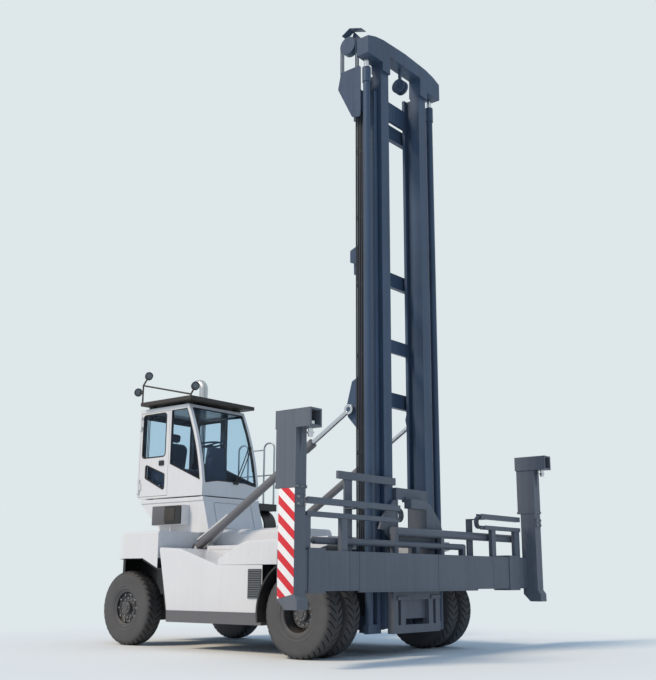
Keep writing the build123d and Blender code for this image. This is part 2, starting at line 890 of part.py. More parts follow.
def screen_radius():
    # the radius and the centre (x, z) of the arc through the windscreen's foot and head, bowed forward by
    # screen_bow
    run_x, run_z = cab_roof_front_x - cab_front_x, cab_roof_z - cab_sill_z
    chord = sqrt(run_x ** 2 + run_z ** 2)
    radius = chord ** 2 / (8 * screen_bow) + screen_bow / 2
    back = (radius - screen_bow) / chord
    centre_x = (cab_front_x + cab_roof_front_x) / 2 - back * run_z
    centre_z = (cab_sill_z + cab_roof_z) / 2 + back * run_x
    return radius, centre_x, centre_z


def screen_drum(depth):
    # everything behind a face lying depth behind the windscreen's outer face
    radius, x, z = screen_radius()
    return Pos(x, 0, z) * Rot(90, 0, 0) * Cylinder(radius - depth, 4 * cab_half_width)


def screen_outline(inset):
    # the windscreen's opening seen from the front, its lower edge risen towards the middle
    half = cab_half_width - pillar - inset
    low, high = cab_sill_z + inset, cab_roof_z - cab_roof_thickness - inset
    right = [(half, high), (half, low), (half * screen_rise_share, low + screen_rise)]
    return right + [(-y, z) for y, z in reversed(right)]


def cab_block(inset, floor_z, roof_z):
    # the cab's body drawn in by inset, with its bowed front
    x0, x1, half = cab_rear_x + inset, cab_front_x - inset, cab_half_width - inset
    return block(x0, x1, -half, half, floor_z, roof_z) & screen_drum(inset)


def rounded_pane(points, y0, y1, radius):
    # a side-view outline with rounded corners, extruded from y0 to y1
    low, high = min(y0, y1), max(y0, y1)
    pane = plate_xz(points, low, high)
    return fillet(pane.edges().filter_by(Axis.Y), radius)


def hinge_levels():
    # the lower and upper end of each hinge barrel on a door
    rise = door_top_z - door_bottom_z
    middles = [door_bottom_z + share * rise for share in door_hinge_shares]
    return [(z - door_hinge_length, z + door_hinge_length) for z in middles]


def hinge_barrel(low, high, way):
    # a barrel on the right-hand door's hinge axis, with its leaf to the front (way 1) or the rear (way -1)
    x, y, r = door_rear_x + door_hinge_radius, -cab_half_width - door_hinge_radius - seat_gap, door_hinge_radius
    barrel = Pos(x, y, (low + high) / 2) * Cylinder(r, high - low)
    leaf = block(x, x + way * door_hinge_leaf, y, -cab_half_width, low, high)
    return barrel + leaf


def door_box(y0, y1, grow):
    # the space of the right-hand door in the cab's side, as a block
    return block(door_rear_x - grow, door_front_x + grow, y0, y1, door_bottom_z - grow, door_top_z + grow)


def quarter_outline(inset):
    # the side window ahead of the door, bounded by the bowed front pillar
    radius, centre_x, centre_z = screen_radius()
    low, high = quarter_low_z + inset, quarter_high_z - inset
    rear = door_front_x + door_gap + quarter_rear_margin + inset
    levels = [low + (high - low) * share for share in quarter_shares]
    front = [(centre_x + sqrt((radius - pillar - inset) ** 2 - (z - centre_z) ** 2), z) for z in levels]
    return [(rear, low + quarter_drop)] + front + [(rear, high)]


def rear_window(inset, x0, x1):
    # the opening in the cab's rear wall
    half = cab_half_width - 2 * pillar - inset
    return block(x0, x1, -half, half, cab_sill_z + pillar + inset, door_top_z - pillar - inset)


def cab_shell():
    # the cab's hollow shell, with its door openings and windows cut and its handle bars
    wall = cab_wall
    outer = cab_block(0, cab_floor_z, cab_roof_z)
    outer = fillet(outer.edges().filter_by(Axis.Y).group_by(Axis.Z)[0].group_by(Axis.X)[0], cab_corner_radius)
    shell = outer - cab_block(wall, cab_floor_z + cab_floor_thickness, cab_roof_z - cab_roof_thickness)
    reach = cab_half_width + cut_overrun
    doorway = door_box(-reach, -cab_half_width + wall + cut_overrun, door_gap)
    shell = shell - doorway - mirrored(doorway)
    shell = shell - plate_xz(quarter_outline(0), -reach, reach)
    screen = plate_yz(screen_outline(0), cab_roof_front_x - 2 * wall, cab_front_x + wall)
    shell = shell - (screen - screen_drum(2 * wall))
    shell = shell - rear_window(0, cab_rear_x - cut_overrun, cab_rear_x + wall + cut_overrun)
    for low, high in hinge_levels():
        lug = hinge_barrel(low - door_hinge_length - slide_gap, low - slide_gap, -1)
        lug = lug + hinge_barrel(high + slide_gap, high + slide_gap + door_hinge_length, -1)
        shell = shell + lug + mirrored(lug)
    return shell


def cab_glass():
    # the fixed panes: windscreen, rear window and the two quarter windows
    sit, sunk = seat_gap, cab_wall / 3
    screen = plate_yz(screen_outline(sit), cab_roof_front_x - 2 * cab_wall, cab_front_x + cab_wall)
    front = (screen & screen_drum(sunk)) - screen_drum(sunk + pane_thickness)
    back = rear_window(sit, cab_rear_x + sunk, cab_rear_x + sunk + pane_thickness)
    y = cab_half_width - sunk
    quarter = plate_xz(quarter_outline(sit), y - pane_thickness, y)
    return group(front, back, quarter, mirrored(quarter))


def door_openings(y0, y1, inset):
    # the two panes of the right-hand door: tall window above, small slanted one below
    x0, x1 = door_rear_x + window_rear_margin + inset, door_front_x - window_margin - inset
    upper = [(x0, window_low_z + inset), (x1, window_low_z + inset),
             (x1, door_top_z - window_top_margin - inset),
             (x0, door_top_z - window_top_margin - inset)]
    x0 = x0 + light_inset
    lower = [(x0, light_high_z - inset), (x1, light_high_z - light_drop - inset), (x1, light_low_z + inset),
             (x0, light_low_z + light_rise + inset)]
    return (rounded_pane(upper, y0, y1, window_corner_radius), rounded_pane(lower, y0, y1, light_corner_radius))


def door():
    # the right-hand door leaf with its handle and hinge barrels
    outer = -cab_half_width
    leaf = block(door_rear_x, door_front_x, outer, outer + door_thickness, door_bottom_z, door_top_z)
    for opening in door_openings(outer - cut_overrun, outer + door_thickness + cut_overrun, 0):
        leaf = leaf - opening
    for low, high in hinge_levels():
        leaf = leaf + hinge_barrel(low, high, 1)
    x0 = door_front_x - handle_inset - handle_length
    handle = block(x0, x0 + handle_length, outer - door_hinge_radius, outer, handle_z - handle_height, handle_z)
    return leaf + handle


def door_glass():
    # the right-hand door's two panes
    y = -cab_half_width + door_thickness / 2
    return group(*door_openings(y - pane_thickness / 2, y + pane_thickness / 2, seat_gap))


def seat():
    # the driver's seat on its base
    floor = cab_floor_z + cab_floor_thickness + seat_gap
    x = cab_rear_x + cab_wall + seat_setback
    d, w = seat_depth, seat_width
    low, top = floor + seat_height - seat_cushion, floor + seat_height + seat_back_height
    base = block(x - d / 3, x + d / 3, -w / 3, w / 3, floor, low)
    pad = block(x - d / 2, x + d / 2, -w / 2, w / 2, low, floor + seat_height)
    back = plate_xz([(x - d / 2, low), (x - d / 4, low), (x - d / 2, top), (x - seat_lean_share * d, top)],
                    -w / 2, w / 2)
    return base + pad + back


def steering_column():
    # the console with its column and the steering wheel
    floor = cab_floor_z + cab_floor_thickness + seat_gap
    foot_x = cab_front_x - 2 * cab_wall - steering_wheel_radius - wheel_setback
    top = (foot_x - steering_wheel_radius / 2, 0, floor + seat_height + 2 * steering_wheel_radius)
    column = bar((foot_x, 0, floor + column_radius), top, column_radius)
    console = block(foot_x - column_radius, foot_x + console_depth, -console_half, console_half, floor,
                    floor + console_height)
    lean = Vector(*top) - Vector(foot_x, 0, floor)
    plane = Plane(origin=top, z_dir=lean)
    wheel = plane * Torus(steering_wheel_radius, steering_rim)
    spoke = plane * Box(2 * steering_wheel_radius, 2 * steering_rim, steering_rim)
    return column + console + spoke + wheel


def roof_rack():
    # the thin guard plate on feet above the roof
    top = rack_z + rack_thickness
    plate = block(rack_rear_x, rack_front_x, -rack_half_width, rack_half_width, rack_z, top)
    for x in (rack_rear_x + 2 * rack_foot, cab_roof_front_x - 2 * rack_foot):
        for y in (-cab_half_width + 2 * rack_foot, cab_half_width - 2 * rack_foot):
            plate = plate + block(x - rack_foot, x + rack_foot, y - rack_foot, y + rack_foot,
                                  cab_roof_z + seat_gap, rack_z)
    return plate


def lamp(x, y, z):
    # one round work lamp, turned towards the front and the near side, with its raised bezel
    place = Pos(x, y, z) * Rot(0, 0, -lamp_turn) * Rot(0, 90, 0)
    recess = Pos(0, 0, lamp_depth / 2) * Cylinder(lamp_radius - lamp_bezel, lamp_bezel)
    return place * (Cylinder(lamp_radius, lamp_depth) - recess)


def work_lamps():
    # the round work lamps on their stalks and the thin rail between them
    deck_z = rack_z + rack_thickness + seat_gap
    y, r = -lamp_y, lamp_rail_radius
    rear, front = lamp_stalk_rear_x, lamp_stalk_front_x
    rear_top, front_top = deck_z + lamp_rail_rear_z, deck_z + lamp_rail_front_z
    frame = bar((rear, y, deck_z), (rear, y, rear_top), r) + bar((front, y, deck_z), (front, y, front_top), r)
    frame = frame + bar((rear, y, rear_top - r), (front, y, front_top - r), r)
    for share, rise in lamp_shares:
        x, z = rear + share * (front - rear), deck_z + rise
        stalk, stalk_top = (front, front_top) if share > 1 else (rear, rear_top)
        frame = frame + bar((stalk, y, min(z, stalk_top) - r), (x, y, z), r) + lamp(x, y, z)
    return frame


def exhaust():
    # the exhaust pipe beside the cab's rear corner, clear of the open door, and its wide upper part bent to
    # the rear
    x, y = exhaust_x, exhaust_y
    path = [(x, y, exhaust_shield_z), (x, y, exhaust_top_z), (exhaust_tip_x, y, exhaust_top_z)]
    stack = bent_tube(path, exhaust_radius, exhaust_bend_share * exhaust_radius)
    return stack + bar((x, y, weight_top_z + seat_gap), (x, y, exhaust_shield_z), exhaust_pipe_radius)


def platform():
    # the driver's platform on the left, on a post and the curved stay below its front end
    inner, outer = cab_half_width + platform_cab_gap, platform_outer_y
    low = platform_z - platform_thickness
    slab = block(platform_rear_x, platform_front_x, inner, outer, low, platform_z)
    x, half = platform_rear_x + platform_post_inset, platform_post_half
    slab = slab + block(x - half, x + half, outer - 3 * half, outer - half, weight_top_z + seat_gap, low)
    y0, y1 = outer - stay_width, outer
    x = platform_front_x - stay_radius
    ring = Pos(x, (y0 + y1) / 2, low - stay_radius + stay_thickness) * Rot(90, 0, 0) * (
        Cylinder(stay_radius, y1 - y0) - Cylinder(stay_radius - stay_thickness, 2 * (y1 - y0)))
    stay = ring & block(x, x + 2 * stay_radius, y0, y1, low - stay_radius + stay_thickness,
                        low + stay_thickness)
    leg = block(x + stay_radius - stay_thickness, x + stay_radius, y0, y1, weight_top_z + seat_gap,
                low - stay_radius + stay_thickness)
    return slab + stay + leg


def handrails():
    # the two hoops at the platform's edge with their middle bars, and the long rails between them
    z, r, bend = platform_z + seat_gap, rail_tube_radius, hoop_bend
    y = platform_outer_y - 2 * r
    rails = None
    for rear, front in hoop_places:
        x0, x1 = platform_front_x + rear, platform_front_x + front
        hoop = bent_tube([(x0, y, z), (x0, y, hoop_top_z), (x1, y, hoop_top_z), (x1, y, z)], r, bend)
        hoop = hoop + bar((x0, y, hoop_middle_z), (x1, y, hoop_middle_z), rail_bar_radius)
        rails = hoop if rails is None else rails + hoop
    rear_x, front_x = platform_front_x + hoop_places[-1][-1], platform_front_x + hoop_places[0][0]
    for level in (hoop_middle_z, hoop_top_z - bend - r):
        rails = rails + bar((rear_x, y, level), (front_x, y, level), rail_bar_radius)
    return rails


def access_steps():
    # the ladder on the left side body: two stringers and three treads on brackets
    y0, y1 = body_half_width + skirt_proud + seat_gap, body_half_width + step_reach
    t = step_thickness
    x0 = side_rear_low_x + step_inset
    x1 = x0 + step_width
    ladder = block(x0, x0 + t, y0, y1, step_low_z, step_high_z) + block(x1 - t, x1, y0, y1, step_low_z,
                                                                        step_high_z)
    for i in range(step_count):
        z = step_low_z + (step_high_z - step_low_z - t) * i / (step_count - 1)
        ladder = ladder + block(x0, x1, y0, y1, z, z + t)
    return ladder


def tilt_direction():
    # the unit vector along a tilt cylinder, and the distance between its pins
    run = Vector(tilt_pin_x - tilt_base_x, 0, tilt_pin_z - tilt_base_z)
    return run.normalized(), run.length


def tilt_struts():
    # the diagonal bracket beside each tilt cylinder's foot, standing on the frame rail and carrying the base
    # pin
    y0, y1 = cab_half_width + 2 * seat_gap, tilt_cylinder_y - tilt_barrel_radius - running_gap
    rear_x = weight_front_x + 2 * seat_gap
    front_x = rear_x + strut_foot_length
    top_x = rear_x + strut_run
    outline = [(rear_x, strut_foot_z), (rear_x, weight_top_z - strut_depth), (top_x, weight_top_z + strut_rise),
               (top_x, weight_top_z + strut_rise - strut_depth), (front_x, tilt_base_z + strut_depth / 2),
               (front_x, strut_foot_z)]
    ear = plate_xz(outline, y0, y1)
    inner = offset(make_face(Polyline(*[(x, 0, z) for x, z in outline], close=True)), amount=-strut_lip)
    ear = ear - extrude(Pos(0, y1 - strut_pocket, 0) * inner, amount=strut_depth, dir=(0, 1, 0))
    foot = block(rear_x, front_x, rail_y + rail_thickness + seat_gap, y0, strut_foot_z, rail_top)
    pin = bar((tilt_base_x, y0, tilt_base_z), (tilt_base_x, tilt_cylinder_y + tilt_eye_width / 2,
                                               tilt_base_z), tilt_pin_radius)
    return both(ear + foot + pin)


def tilt_barrel():
    # the left tilt cylinder's barrel with its gland and its base eye
    along, length = tilt_direction()
    base = Vector(tilt_base_x, tilt_cylinder_y, tilt_base_z)
    start = base + along * tilt_eye_radius * eye_root_share
    end = base + along * (length - tilt_gland)
    barrel = extrude(Plane(origin=start, z_dir=along) * Circle(tilt_barrel_radius), amount=(end - start).length)
    gland = extrude(Plane(origin=end, z_dir=-along) * Circle(tilt_barrel_radius + tilt_gland_proud),
                    amount=tilt_gland_length)
    eye = Pos(tilt_base_x, tilt_cylinder_y, tilt_base_z) * Rot(90, 0, 0) * Cylinder(tilt_eye_radius,
                                                                                    tilt_eye_width)
    bore = Pos(tilt_base_x, tilt_cylinder_y, tilt_base_z) * Rot(90, 0,
                                                                0) * Cylinder(tilt_pin_radius + seat_gap,
                                                                              2 * tilt_eye_width)
    inside = extrude(Plane(origin=base + along * 2 * tilt_eye_radius,
                           z_dir=along) * Circle(tilt_bore_radius), amount=length)
    return barrel + gland + eye - bore - inside


def tilt_rod():
    # the left tilt cylinder's rod with its eye on the mast's pin
    along, length = tilt_direction()
    pin = Vector(tilt_pin_x, tilt_cylinder_y, tilt_pin_z)
    start = pin - along * tilt_piston_inset
    reach = tilt_piston_inset - tilt_eye_radius * eye_root_share
    rod = extrude(Plane(origin=start, z_dir=along) * Circle(tilt_rod_radius), amount=reach)
    eye = Pos(tilt_pin_x, tilt_cylinder_y, tilt_pin_z) * Rot(90, 0, 0) * Cylinder(tilt_eye_radius,
                                                                                  tilt_eye_width)
    hole = Cylinder(tilt_pin_radius + tilt_pin_clearance, 2 * tilt_eye_width)
    bore = Pos(tilt_pin_x, tilt_cylinder_y, tilt_pin_z) * Rot(90, 0, 0) * hole
    return rod + eye - bore


def outer_column():
    # one outer mast column: a channel open towards the inner mast
    x0, x1, f = outer_rear_x, outer_front_x, outer_flange
    plan = [(x0, outer_lip_y), (x0, outer_web_out_y), (x1, outer_web_out_y), (x1, outer_lip_y),
            (x1 - f, outer_lip_y),
            (x1 - f, outer_web_in_y), (x0 + f, outer_web_in_y), (x0 + f, outer_lip_y)]
    return plate_xy(plan, mast_foot_z, outer_top_z)


def mast_ear():
    # the left bearing ring round the drive axle's tube, with its arm to the column
    z = tyre_radius
    y0, y1 = outer_lip_y, outer_web_out_y
    arm_plate = block(0, outer_rear_x + outer_flange, y0, y1, z - mast_ear_radius, z + mast_ear_radius)
    ring = Pos(0, (y0 + y1) / 2, z) * Rot(90, 0, 0) * Cylinder(mast_ear_radius, y1 - y0)
    hole = Pos(0, (y0 + y1) / 2, z) * Rot(90, 0, 0) * Cylinder(axle_tube_radius + mast_ear_clearance,
                                                               2 * (y1 - y0))
    return arm_plate + ring - hole


def outer_mast():
    # the outer mast: two columns, their cross members with corner gussets, the axle bearings and the lift
    # cylinders' feet
    mast = outer_column() + mast_ear()
    foot = block(lift_cylinder_x - lift_barrel_radius, outer_front_x, outer_web_out_y,
                 lift_cylinder_y + lift_barrel_radius,
                 mast_foot_z, lift_barrel_foot_z)
    mast = mast + foot
    for low, high in outer_cross_levels:
        corner = [(outer_web_out_y, low), (outer_web_out_y, low - cross_gusset),
                  (outer_lip_y, low - cross_gusset),
                  (outer_lip_y - cross_gusset, low)]
        mast = mast + plate_yz(corner, outer_rear_x - cross_rib, outer_rear_x)
    mast = mast + mirrored(mast)
    for low, high in outer_cross_levels:
        mast = mast + block(outer_rear_x - cross_depth, outer_rear_x, -outer_web_out_y, outer_web_out_y, low,
                            high)
    return mast


def tilt_brackets():
    # the plates on the outer mast that take the tilt cylinders, and the side gussets
    y0, y1 = outer_web_out_y + seat_gap, tilt_cylinder_y - tilt_rod_radius - slide_gap
    plates = []
    for z, outline in ((tilt_pin_z, tilt_bracket_outline), (side_gusset_z, side_gusset_outline)):
        plates.append(plate_xz([(tilt_pin_x + x, z + rise) for x, rise in outline], y0, y1))
    plate = fillet(plates[0].edges().filter_by(Axis.Y), bracket_corner_radius)
    pin = bar((tilt_pin_x, y0, tilt_pin_z), (tilt_pin_x, tilt_cylinder_y + tilt_eye_width / 2, tilt_pin_z),
              tilt_pin_radius)
    return both(group(plate + pin, plates[1]))


def lift_barrels():
    # the lift cylinders' barrels with their gland collars
    x, y = lift_cylinder_x, lift_cylinder_y
    z0, z1 = lift_barrel_foot_z + seat_gap, lift_barrel_top_z
    barrel = bar((x, y, z0), (x, y, z1), lift_barrel_radius)
    collar = bar((x, y, z1 - lift_collar_length), (x, y, z1), lift_collar_radius)
    bore = bar((x, y, lift_rod_foot_z - lift_bore_run), (x, y, z1 + cut_overrun), lift_bore_radius)
    return both(barrel + collar - bore)


def lift_rods():
    # the rods, up to the ends of the crossbeam
    x, y = lift_cylinder_x, lift_cylinder_y
    return both(bar((x, y, lift_rod_foot_z), (x, y, crossbeam_end_low_z - seat_gap), lift_rod_radius))


def inner_column():
    # one inner mast column: a heavy front flange, a web and a rear flange
    x0, x1 = inner_rear_x, inner_front_x
    a, b = inner_edge_in_y, inner_edge_out_y
    m0, m1 = (a + b - inner_web) / 2, (a + b + inner_web) / 2
    r, f = x0 + inner_rear_flange, x1 - inner_block_depth
    plan = [(x0, a), (r, a), (r, m0), (f, m0), (f, a), (x1, a), (x1, b), (f, b), (f, m1), (r, m1), (r, b),
            (x0, b)]
    return plate_xy(plan, inner_foot_z, inner_top_z)


def mast_roller(x, radius, inner_y, outer_y, z):
    # a guide roller turned about an axis across the machine
    return Pos(x, (inner_y + outer_y) / 2, z) * Rot(90, 0, 0) * Cylinder(radius, outer_y - inner_y)


def inner_mast():
    # the inner mast: columns with guide rollers, cross members, the arched crossbeam and the chain sheaves
    # below it
    column = inner_column()
    channel = (outer_rear_x + outer_flange, outer_front_x - outer_flange)
    radius = (channel[1] - channel[0]) / 2 - roller_gap
    for z in inner_roller_levels:
        column = column + mast_roller(sum(channel) / 2, radius, inner_edge_out_y,
                                      outer_web_in_y - running_gap, z)
    mast = column + mirrored(column)
    for low, high in inner_cross_levels:
        mast = mast + block(inner_rear_x, inner_rear_x + inner_rear_flange, -inner_edge_in_y,
                            inner_edge_in_y, low, high)
    half = [(0, crossbeam_top_z)] + [(crossbeam_end_y * share, crossbeam_top_z - drop) for share,
                                     drop in crossbeam_shares]
    half += [(crossbeam_end_y, crossbeam_end_low_z), (inner_edge_out_y, crossbeam_end_low_z),
             (inner_edge_out_y, inner_top_z),
             (inner_edge_in_y, inner_top_z), (crossbeam_arch_y, crossbeam_arch_z), (0, crossbeam_arch_z)]
    outline = half + [(-y, z) for y, z in reversed(half[1:-1])]
    return mast + plate_yz(outline, crossbeam_rear_x, crossbeam_front_x) + chain_sheaves()


def chain_sheaves():
    # two sheaves side by side on a hanger under the middle of the crossbeam
    x = (crossbeam_rear_x + crossbeam_front_x) / 2
    z, h, w = crossbeam_arch_z - chain_sheave_drop, chain_hanger, chain_sheave_width
    hanger = block(x - h, x + h, -h, h, z - h, crossbeam_arch_z + h)
    hanger = hanger + bar((x, -h - w - chain_pin_end, z), (x, h + w + chain_pin_end, z), h)
    for side in (1, -1):
        sheave = turned([(0, h), (chain_sheave_radius, h), (chain_sheave_radius, h + w / 4),
                         (chain_sheave_radius - w / 4, h + w / 3),
                         (chain_sheave_radius - w / 4, h + 2 * w / 3), (chain_sheave_radius, h + 3 * w / 4),
                         (chain_sheave_radius, h + w), (0, h + w)])
        hanger = hanger + Pos(x, 0, z) * (sheave if side > 0 else mirrored(sheave))
    return hanger


def hose_sheave():
    # the hose pulley behind the crossbeam's right end: drum, side plate, roof-shaped cap and the hoses laid
    # over it
    x, y, z = crossbeam_rear_x - sheave_back, -sheave_y, crossbeam_top_z - sheave_drop
    drum = Pos(x, y, z) * Rot(90, 0, 0) * Cylinder(sheave_radius, sheave_width)
    inner = y + sheave_width / 2
    peak_x = x + cap_peak_forward
    beam_x = crossbeam_rear_x - seat_gap
    side = plate_xz([(x - hub_nose_radius / 2, z - hub_nose_radius / 2), (beam_x, z - hub_nose_radius),
                     (beam_x, z),
                     (peak_x, z + cap_peak - cap_plate / 2)], inner - seat_gap, inner + cap_plate)
    slopes = [(x - cap_reach, z + cap_eaves), (peak_x, z + cap_peak), (beam_x - cap_plate, z + cap_eaves)]
    cap = plate_xz(slopes + [(px, pz - cap_plate) for px, pz in reversed(slopes)], y - sheave_width / 2,
                   inner + cap_plate)
    pulley = drum + side + cap
    r, bend = sheave_radius, sheave_radius - seat_gap
    for i in range(sheave_hoses):
        hose_line = y + (i - (sheave_hoses - 1) / 2) * sheave_hose_pitch
        path = [(x - r, hose_line, hose_drop_z), (x - r, hose_line, z + r), (x + r, hose_line, z + r),
                (x + r, hose_line, outer_top_z + running_gap)]
        pulley = pulley + bent_tube(path, hose_radius * sheave_hose_share, bend)
    return pulley


def hose_guard():
    # the rounded plate beside the mast's head that shields the hoses, on a spacer from the right outer column
    y1 = -hose_guard_y
    y0 = y1 - hose_guard_plate
    plate = plate_xz([(x, outer_top_z + rise) for x, rise in hose_guard_outline], y0, y1)
    plate = fillet(plate.edges().filter_by(Axis.Y), hose_guard_corner)
    spacer = block(hose_guard_spacer_x, hose_guard_spacer_x + hose_guard_spacer, y1 - seat_gap,
                   -outer_web_out_y - seat_gap,
                   outer_top_z - hose_guard_spacer_drop, outer_top_z - hose_guard_spacer)
    trough = plate_xz([(x, outer_top_z + rise) for x, rise in hose_trough_outline], y1 - seat_gap,
                      y1 + hose_guard_plate)
    return plate + spacer + trough


def mast_hoses():
    # the bundle of hoses down the outside of the right outer column, in its clamps
    bundle = None
    x0, x1 = hose_xs[0] - hose_radius, hose_xs[-1] + hose_radius
    for z in hose_clamp_levels:
        clamp = block(x0, x1, -outer_web_out_y - seat_gap, -hose_y, z, z + hose_clamp_height)
        bundle = clamp if bundle is None else bundle + clamp
    for x in hose_xs:
        bundle = bundle + bar((x, -hose_y, hose_low_z), (x, -hose_y, outer_top_z - cut_overrun), hose_radius)
    return bundle


def carriage():
    # the lifting carriage: side plates between the columns, cross plates, wings, guide rollers, valves and
    # the frame below the beam
    side = block(carriage_rear_x, beam_rear_x - seat_gap, carriage_half - carriage_plate, carriage_half,
                 carriage_low_z, carriage_high_z)
    rear = inner_rear_x + inner_rear_flange
    front = inner_front_x - inner_block_depth
    web = (inner_edge_in_y + inner_edge_out_y - inner_web) / 2
    for z in carriage_roller_levels:
        side = side + mast_roller((rear + front) / 2, (front - rear) / 2 - roller_gap, carriage_half,
                                  web - running_gap, z)
    wing = plate_yz([(carriage_half + out, beam_high_z + rise) for out, rise in wing_outline],
                    inner_front_x + running_gap, carriage_face_x)
    frame = side + wing
    frame = frame + mirrored(frame)
    face = carriage_face_x - carriage_plate
    for low, high in carriage_cross_levels:
        frame = frame + block(face, carriage_face_x, -carriage_half, carriage_half, low, high)
    x1 = carriage_face_x + under_frame_depth
    half, depth = under_frame_half, under_frame_bar
    top = beam_low_z - beam_lip - seat_gap
    frame = frame + block(face, x1, -half, half, under_frame_low_z, under_frame_low_z + depth)
    for outer in (half, carriage_half):
        for y0, y1 in ((-outer, depth - outer), (outer - depth, outer)):
            frame = frame + block(face, x1, y0, y1, under_frame_low_z, top)
    frame = frame + block(face, x1, -half, half, top - depth, top)
    for y0, y1, drop in connector_strips:
        frame = frame + block(x1, x1 + connector_depth, y0, y1, top - drop - connector_height, top - drop)
    shelf = carriage_cross_levels[-1][0]
    frame = frame + block(carriage_face_x, carriage_face_x + valve_depth, -valve_half, valve_half,
                          valve_low_z, valve_high_z)
    return frame + block(face, carriage_face_x + carriage_plate, -valve_half, valve_half,
                         valve_high_z - carriage_plate, shelf + carriage_plate)


def spreader_beam():
    # the main beam: a box with two bays side by side for the arms' tongues, and the lip below its middle
    x0, x1, z0, z1, w = beam_rear_x, beam_front_x, beam_low_z, beam_high_z, beam_wall
    outer = block(x0, x1, -beam_half, beam_half, z0, z1)
    middle = (x0 + x1) / 2
    bay = block(x0 + w, middle - w / 2, -beam_half - cut_overrun, beam_half + cut_overrun, z0 + w, z1 - w)
    front = block(middle + w / 2, x1 - w, -beam_half - cut_overrun, beam_half + cut_overrun, z0 + w, z1 - w)
    lip = block(x1 - 2 * w, x1 + w / 2, beam_lip_right, beam_lip_left, z0 - beam_lip, z0)
    return outer - bay - front + lip


def lift_tray(side, start, end, low_z, depth):
    # a U-shaped tray, open upwards, outward from start to end on one side
    x0, x1, w = tray_rear_x, tray_front_x, tray_wall
    shell = block(x0, x1, side * start, side * end, low_z, low_z + depth)
    return shell - block(x0 + w, x1 - w, side * (start - cut_overrun), side * (end + cut_overrun), low_z + w,
                         low_z + depth + cut_overrun)


def arm(side):
    # one telescopic arm: hollow tongue in the beam's bay, the box outside, collar, cylinder rod and lower
    # cable tray
    x0, x1, z0, z1, w = beam_rear_x, beam_front_x, beam_low_z, beam_high_z, beam_wall
    middle = (x0 + x1) / 2
    bay = (middle + w / 2, x1 - w) if side > 0 else (x0 + w, middle - w / 2)
    g = tongue_gap
    start = beam_half + running_gap
    tongue = block(bay[0] + g, bay[1] - g, -side * arm_inner_end, side * (start + w), z0 + w + g, z1 - w - g)
    pads = block(bay[0] + g, bay[1] - g, -side * arm_inner_end, side * (tongue_pad_length - arm_inner_end),
                 z0 + w + slide_gap, z1 - w - slide_gap)
    tongue_hole = block(bay[0] + g + w, bay[1] - g - w, -side * (arm_inner_end + cut_overrun),
                        side * (start + w / 2),
                        z0 + 2 * w + g, z1 - 2 * w - g)
    box = block(x0, x1, side * start, side * arm_stub_end, z0, z1)
    collar = block(x0 - arm_collar_proud, x1 + arm_collar_proud / 2, side * arm_collar_start,
                   side * arm_box_end,
                   z0 - arm_collar_proud, z1 + arm_collar_proud)
    box_hole = block(x0 + w, x1 - w, side * (start + 2 * w), side * (arm_stub_end + cut_overrun), z0 + w,
                     z1 - w)
    whole = tongue + pads + box + collar - tongue_hole - box_hole
    for way, z, base, gland, eye, radius in spread_cylinders:
        if way == side:
            rod = bar((spread_cylinder_x, side * (base + spread_piston_inset), z),
                      (spread_cylinder_x, side * eye, z), spread_rod_radius)
            lug = block(spread_cylinder_x - spread_lug, spread_cylinder_x + spread_lug,
                        side * (eye - spread_lug), side * (eye + spread_lug), z1, z + spread_lug)
            knob = Pos(spread_cylinder_x, side * eye, z) * Rot(0, 90, 0) * Cylinder(spread_eye_radius,
                                                                                    2 * spread_lug)
            whole = whole + rod + lug + knob
    for way, tray_start, tray_end in cable_trays_table:
        if way == side:
            whole = whole + lift_tray(side, tray_start, tray_end, tray_low_z, tray_low_depth)
    for upright_start, upright_end in tray_uprights:
        whole = whole + block(upright_rear_x, upright_front_x, side * upright_start, side * upright_end, z1,
                              tray_low_z)
    return whole


def spreader_cylinders():
    # the barrels of the two side-lift cylinders, one above the other in saddles on the main beam
    x, lug = spread_cylinder_x, spread_lug
    body, bores = None, []
    for side, z, base, gland, eye, radius in spread_cylinders:
        barrel = bar((x, side * base, z), (x, side * gland, z), radius)
        body = barrel if body is None else body + barrel
        bores.append(bar((x, side * (base + spread_piston_inset - spread_rod_gap), z),
                         (x, side * (gland + cut_overrun), z),
                         spread_rod_radius + spread_rod_gap))
        for share in saddle_shares:
            y = side * (base + lug + share * (gland - base))
            body = body + block(x - lug, x + lug, y - lug, y + lug, beam_high_z + seat_gap, z)
    for bore in bores:
        body = body - bore
    return body


